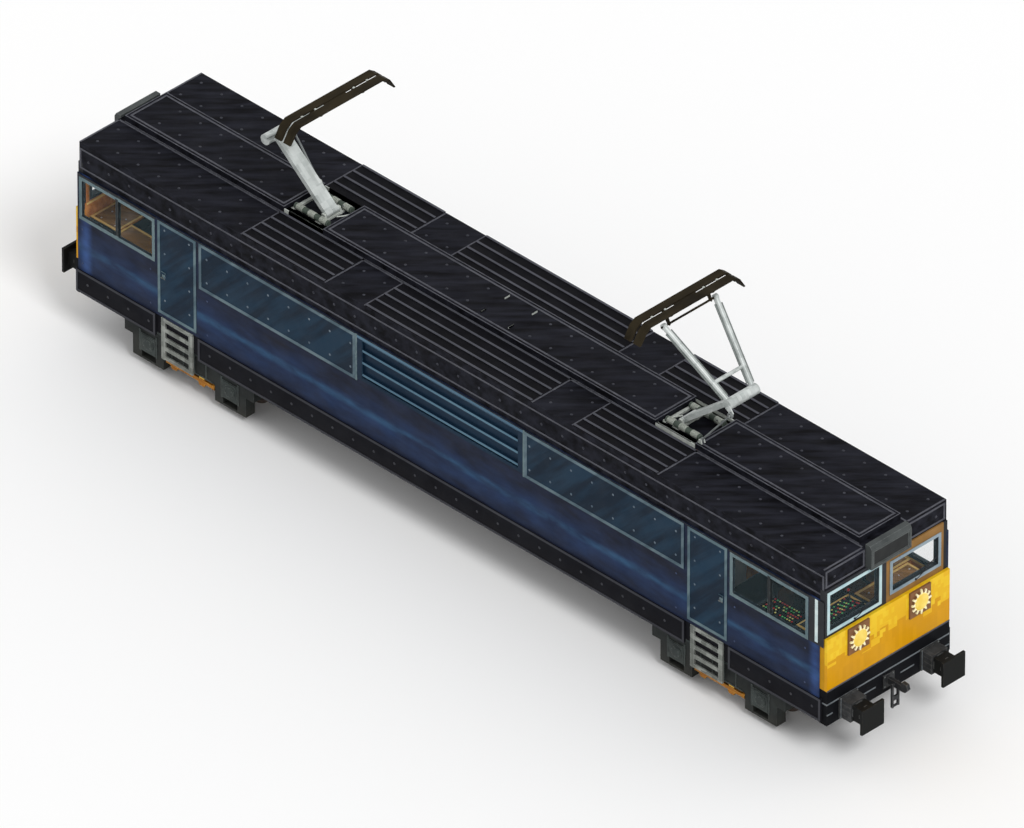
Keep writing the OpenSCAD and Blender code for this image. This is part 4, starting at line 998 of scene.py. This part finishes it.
# Running gear
gear = dict(frameFace=1.38, boltCircle=0.082, boltRadius=0.016, boltHeight=0.008)
outerFace = gear["frameFace"]
for end, centre in (("front", bogieCentre), ("rear", -bogieCentre)):
    body = end + "_bogie"
    bm = bmesh.new()
    for axle in (-1.0, 1.0):
        for s in (-1, 1):
            x = centre + axle
            face = s * boxFace
            addLathe(bm, [(0.105, -0.004), (0.105, s * 0.006), (0.09, s * 0.012), (0.03, s * 0.0135)],
                     (x, face, axleHeight), 1, 28, 0)   # axlebox end cover
            addBox(bm, (x - 0.15, s * outerFace, axleHeight + 0.115),
                   (x + 0.15, s * 1.405, axleHeight + 0.165))
            for t in (-1, 1):   # guides beside the axlebox
                addBox(bm, (x + t * 0.20 - 0.018, s * outerFace, 0.30),
                       (x + t * 0.20 + 0.018, s * 1.392, 0.74))
            inner = centre + axle - math.copysign(0.545, axle)   # brake block hanger
            addPrism(bm, [(inner - 0.03, 0.40), (inner + 0.03, 0.40), (inner + 0.03, 0.76),
                          (inner - 0.03, 0.76)], 1, s * 0.71, s * 0.80, 1)
    for s in (-1, 1):   # stiffening flanges of the side frame
        addBox(bm, (centre - 1.5, s * outerFace, 0.845), (centre + 1.5, s * 1.394, 0.885), 0)
        addBox(bm, (centre - 0.58, s * outerFace, 0.462), (centre + 0.58, s * 1.392, 0.495), 0)
        for x in (-0.42, -0.14, 0.14, 0.42):
            addBox(bm, (centre + x - 0.012, s * outerFace, 0.495), (centre + x + 0.012, s * 1.390, 0.845), 0)
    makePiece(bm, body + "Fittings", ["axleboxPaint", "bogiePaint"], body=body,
              bevel=0.002)
    points = []
    for axle in (-1.0, 1.0):
        for s in (-1, 1):
            points += boltRing(centre + axle, s * (boxFace + 0.005), axleHeight,
                               gear["boltCircle"], 6, math.pi / 6)
    for s in (-1, 1):
        for x in (-1.42, -0.52, -0.28, 0.0, 0.28, 0.52, 1.42):
            points.append(((centre + x, s * outerFace, 0.80), (0, s, 0)))
    addStuds(points, body + "Bolts", body, "steelBolt", "running_gear",
             gear["boltRadius"], gear["boltHeight"], 6)

hub = dict(bolts=10, boltCircle=0.13, face=0.835, boltRadius=0.012, boltHeight=0.01)
for name, axle in axlePlaces.items():
    points = []
    for s in (-1, 1):
        points += boltRing(axle, s * hub["face"], axleHeight, hub["boltCircle"], hub["bolts"])
    addStuds(points, name.replace("_", "") + "Bolts", name, "steelBolt", "wheel_steel",
             hub["boltRadius"], hub["boltHeight"], 6)
print("running gear made")


# Pantographs
drum = dict(radius=0.055, side=0.285, wire=0.006)
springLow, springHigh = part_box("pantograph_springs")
drumHeight = (springLow.z + springHigh.z) / 2
points = []
for s in (-1, 1):
    for along in (-1, 1):
        for x in steps(4.12, 4.82, 0.0175):
            if (x - 4.12) % 0.28 < 0.15:
                points.append(((along * x, s * drum["side"], drumHeight), (0, 0, 1)))
growOn(points, "drumWindings", "carbody", "windings", {
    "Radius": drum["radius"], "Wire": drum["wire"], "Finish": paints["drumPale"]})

bm = bmesh.new()
wellMiddle = (wellIn + wellOut) / 2
for s in (-1, 1):
    for x in (wellIn + 0.06, wellOut - 0.06):   # brown insulators under the base's corners
        addLathe(bm, [(0.05, 0.0), (0.05, 0.008), (0.036, 0.012), (0.052, 0.018), (0.036, 0.024),
                      (0.05, 0.03), (0.036, 0.034)], (x, s * 0.455, roofTop), 2, 20, 0)
    for t in (-1, 1):   # end plates of the spring drums
        addBox(bm, (wellMiddle + t * 0.325, s * drum["side"] - 0.062, drumHeight - 0.05),
               (wellMiddle + t * 0.34, s * drum["side"] + 0.062, drumHeight + 0.064), 1)
    addBox(bm, (wellIn + 0.01, s * 0.4 - 0.036, roofTop + 0.055),
           (wellOut - 0.01, s * 0.4 + 0.036, roofTop + 0.064), 1)
    addBox(bm, (wellIn + 0.22, s * 0.478, roofTop),   # channel beside the base
           (wellOut - 0.012, s * 0.495, roofTop + 0.09), 1)
addTube(bm, [(4.02, -0.33, roofTop + 0.055), (4.10, -0.10, roofTop + 0.06), (4.17, 0.0, roofTop + 0.06)],
        0.012, 8, 1)
halfTurn(bm)
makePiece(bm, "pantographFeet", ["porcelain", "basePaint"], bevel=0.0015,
          smooth=True)

arms = dict(footSide=0.28, topSide=0.62, flangeHalf=0.082, flangeThick=0.024, span=(0.08, 0.93))
anchors = {joint["name"]: joint["pos_m"] for joint in frame["joints"]}
for end in ("front", "rear"):
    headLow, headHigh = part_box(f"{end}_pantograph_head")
    middle = (headLow.x + headHigh.x) / 2
    bm = bmesh.new()
    for y in (-0.78, -0.46, 0.46, 0.78):   # light cross pieces that tie both strips together
        addBox(bm, (middle - 0.06, y - 0.02, headHigh.z - 0.032),
               (middle + 0.06, y + 0.02, headHigh.z - 0.008))
    addBox(bm, (middle - 0.06, -0.26, headHigh.z - 0.03), (middle + 0.06, 0.26, headHigh.z - 0.012), 1)
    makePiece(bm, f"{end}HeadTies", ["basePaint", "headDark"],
              body=f"{end}_pantograph_head", bevel=0.002)
    bm = bmesh.new()   # side flanges of the upper arm's two tubes
    knee, top = (Vector(anchors[f"{end}_{joint}"]) for joint in ("pantograph_knee", "head_pivot"))
    for s in (-1, 1):
        a = knee + Vector((0, s * arms["footSide"], 0))
        b = top + Vector((0, s * arms["topSide"], 0))
        way = (b - a).normalized()
        across = (Vector((0, 1, 0)) - way * way.y).normalized() * arms["flangeHalf"]
        up = way.cross(across).normalized() * arms["flangeThick"] / 2
        skin(bm, [[bm.verts.new(a.lerp(b, t) + p * across + q * up)
                   for p, q in ((-1, -1), (1, -1), (1, 1), (-1, 1))] for t in arms["span"]])
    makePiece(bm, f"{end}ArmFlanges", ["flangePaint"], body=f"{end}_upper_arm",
              bevel=0.002)
print("pantographs made")


# Stage, light and camera
stage = dict(floorSize=240.0, floorColour=(252, 252, 252), sunStrength=1.25, sunAngle=20, skyStrength=0.74,
             sunFrom=(0.66, -0.20, 0.74))
bpy.ops.mesh.primitive_plane_add(size=stage["floorSize"], location=(0, 0, 0))
floor = bpy.context.object
floor.name = "studioFloor"
floorPaint = bpy.data.materials.new("studioFloorPaint")
floorPaint.use_nodes = True
tree = floorPaint.node_tree
tree.nodes.clear()
topSide = place(tree, "ShaderNodeBsdfDiffuse", {"Color": shade(*stage["floorColour"])})
under = place(tree, "ShaderNodeNewGeometry").outputs["Backfacing"]   # clear when looked at from below
floorMix = place(tree, "ShaderNodeMixShader", {
    0: under, 1: topSide.outputs[0], 2: place(tree, "ShaderNodeBsdfTransparent").outputs[0]})
place(tree, "ShaderNodeOutputMaterial", {"Surface": floorMix.outputs[0]})
floor.data.materials.append(floorPaint)

world = bpy.data.worlds.new("studioWorld")
bpy.context.scene.world = world
world.use_nodes = True
tree = world.node_tree
tree.nodes.clear()
path = place(tree, "ShaderNodeLightPath").outputs
seen = maths(tree, "MAXIMUM", maths(tree, "MAXIMUM", path["Is Camera Ray"], path["Is Glossy Ray"]),
             path["Is Transmission Ray"])
sky = place(tree, "ShaderNodeBackground", {"Color": (1, 1, 1, 1), "Strength": stage["skyStrength"]})
backdrop = place(tree, "ShaderNodeBackground", {"Color": (1, 1, 1, 1), "Strength": 1.0})
mixed = place(tree, "ShaderNodeMixShader", {0: seen, 1: sky.outputs[0], 2: backdrop.outputs[0]})
place(tree, "ShaderNodeOutputWorld", {"Surface": mixed.outputs[0]})

sun = bpy.data.objects.new("softSun", bpy.data.lights.new("softSun", "SUN"))
sun.data.energy = stage["sunStrength"]
sun.data.angle = math.radians(stage["sunAngle"])
sun.rotation_euler = Vector(stage["sunFrom"]).to_track_quat("Z", "Y").to_euler()
bpy.context.scene.collection.objects.link(sun)

view = dict(target=(0.036, 0.036, 2.041), away=(1, -1, 1), distance=485.5, lens=1000.0)
camera = bpy.data.objects.new("camera", bpy.data.cameras.new("camera"))
away = Vector(view["away"]).normalized()
camera.location = Vector(view["target"]) + view["distance"] * away
camera.rotation_euler = (-away).to_track_quat("-Z", "Y").to_euler()
camera.data.lens = view["lens"]
camera.data.sensor_width = 36.0
camera.data.clip_end = 2000.0
bpy.context.scene.collection.objects.link(camera)
bpy.context.scene.camera = camera
bpy.context.scene.view_settings.view_transform = "Standard"
print("stage set")

bpy.context.view_layer.update()
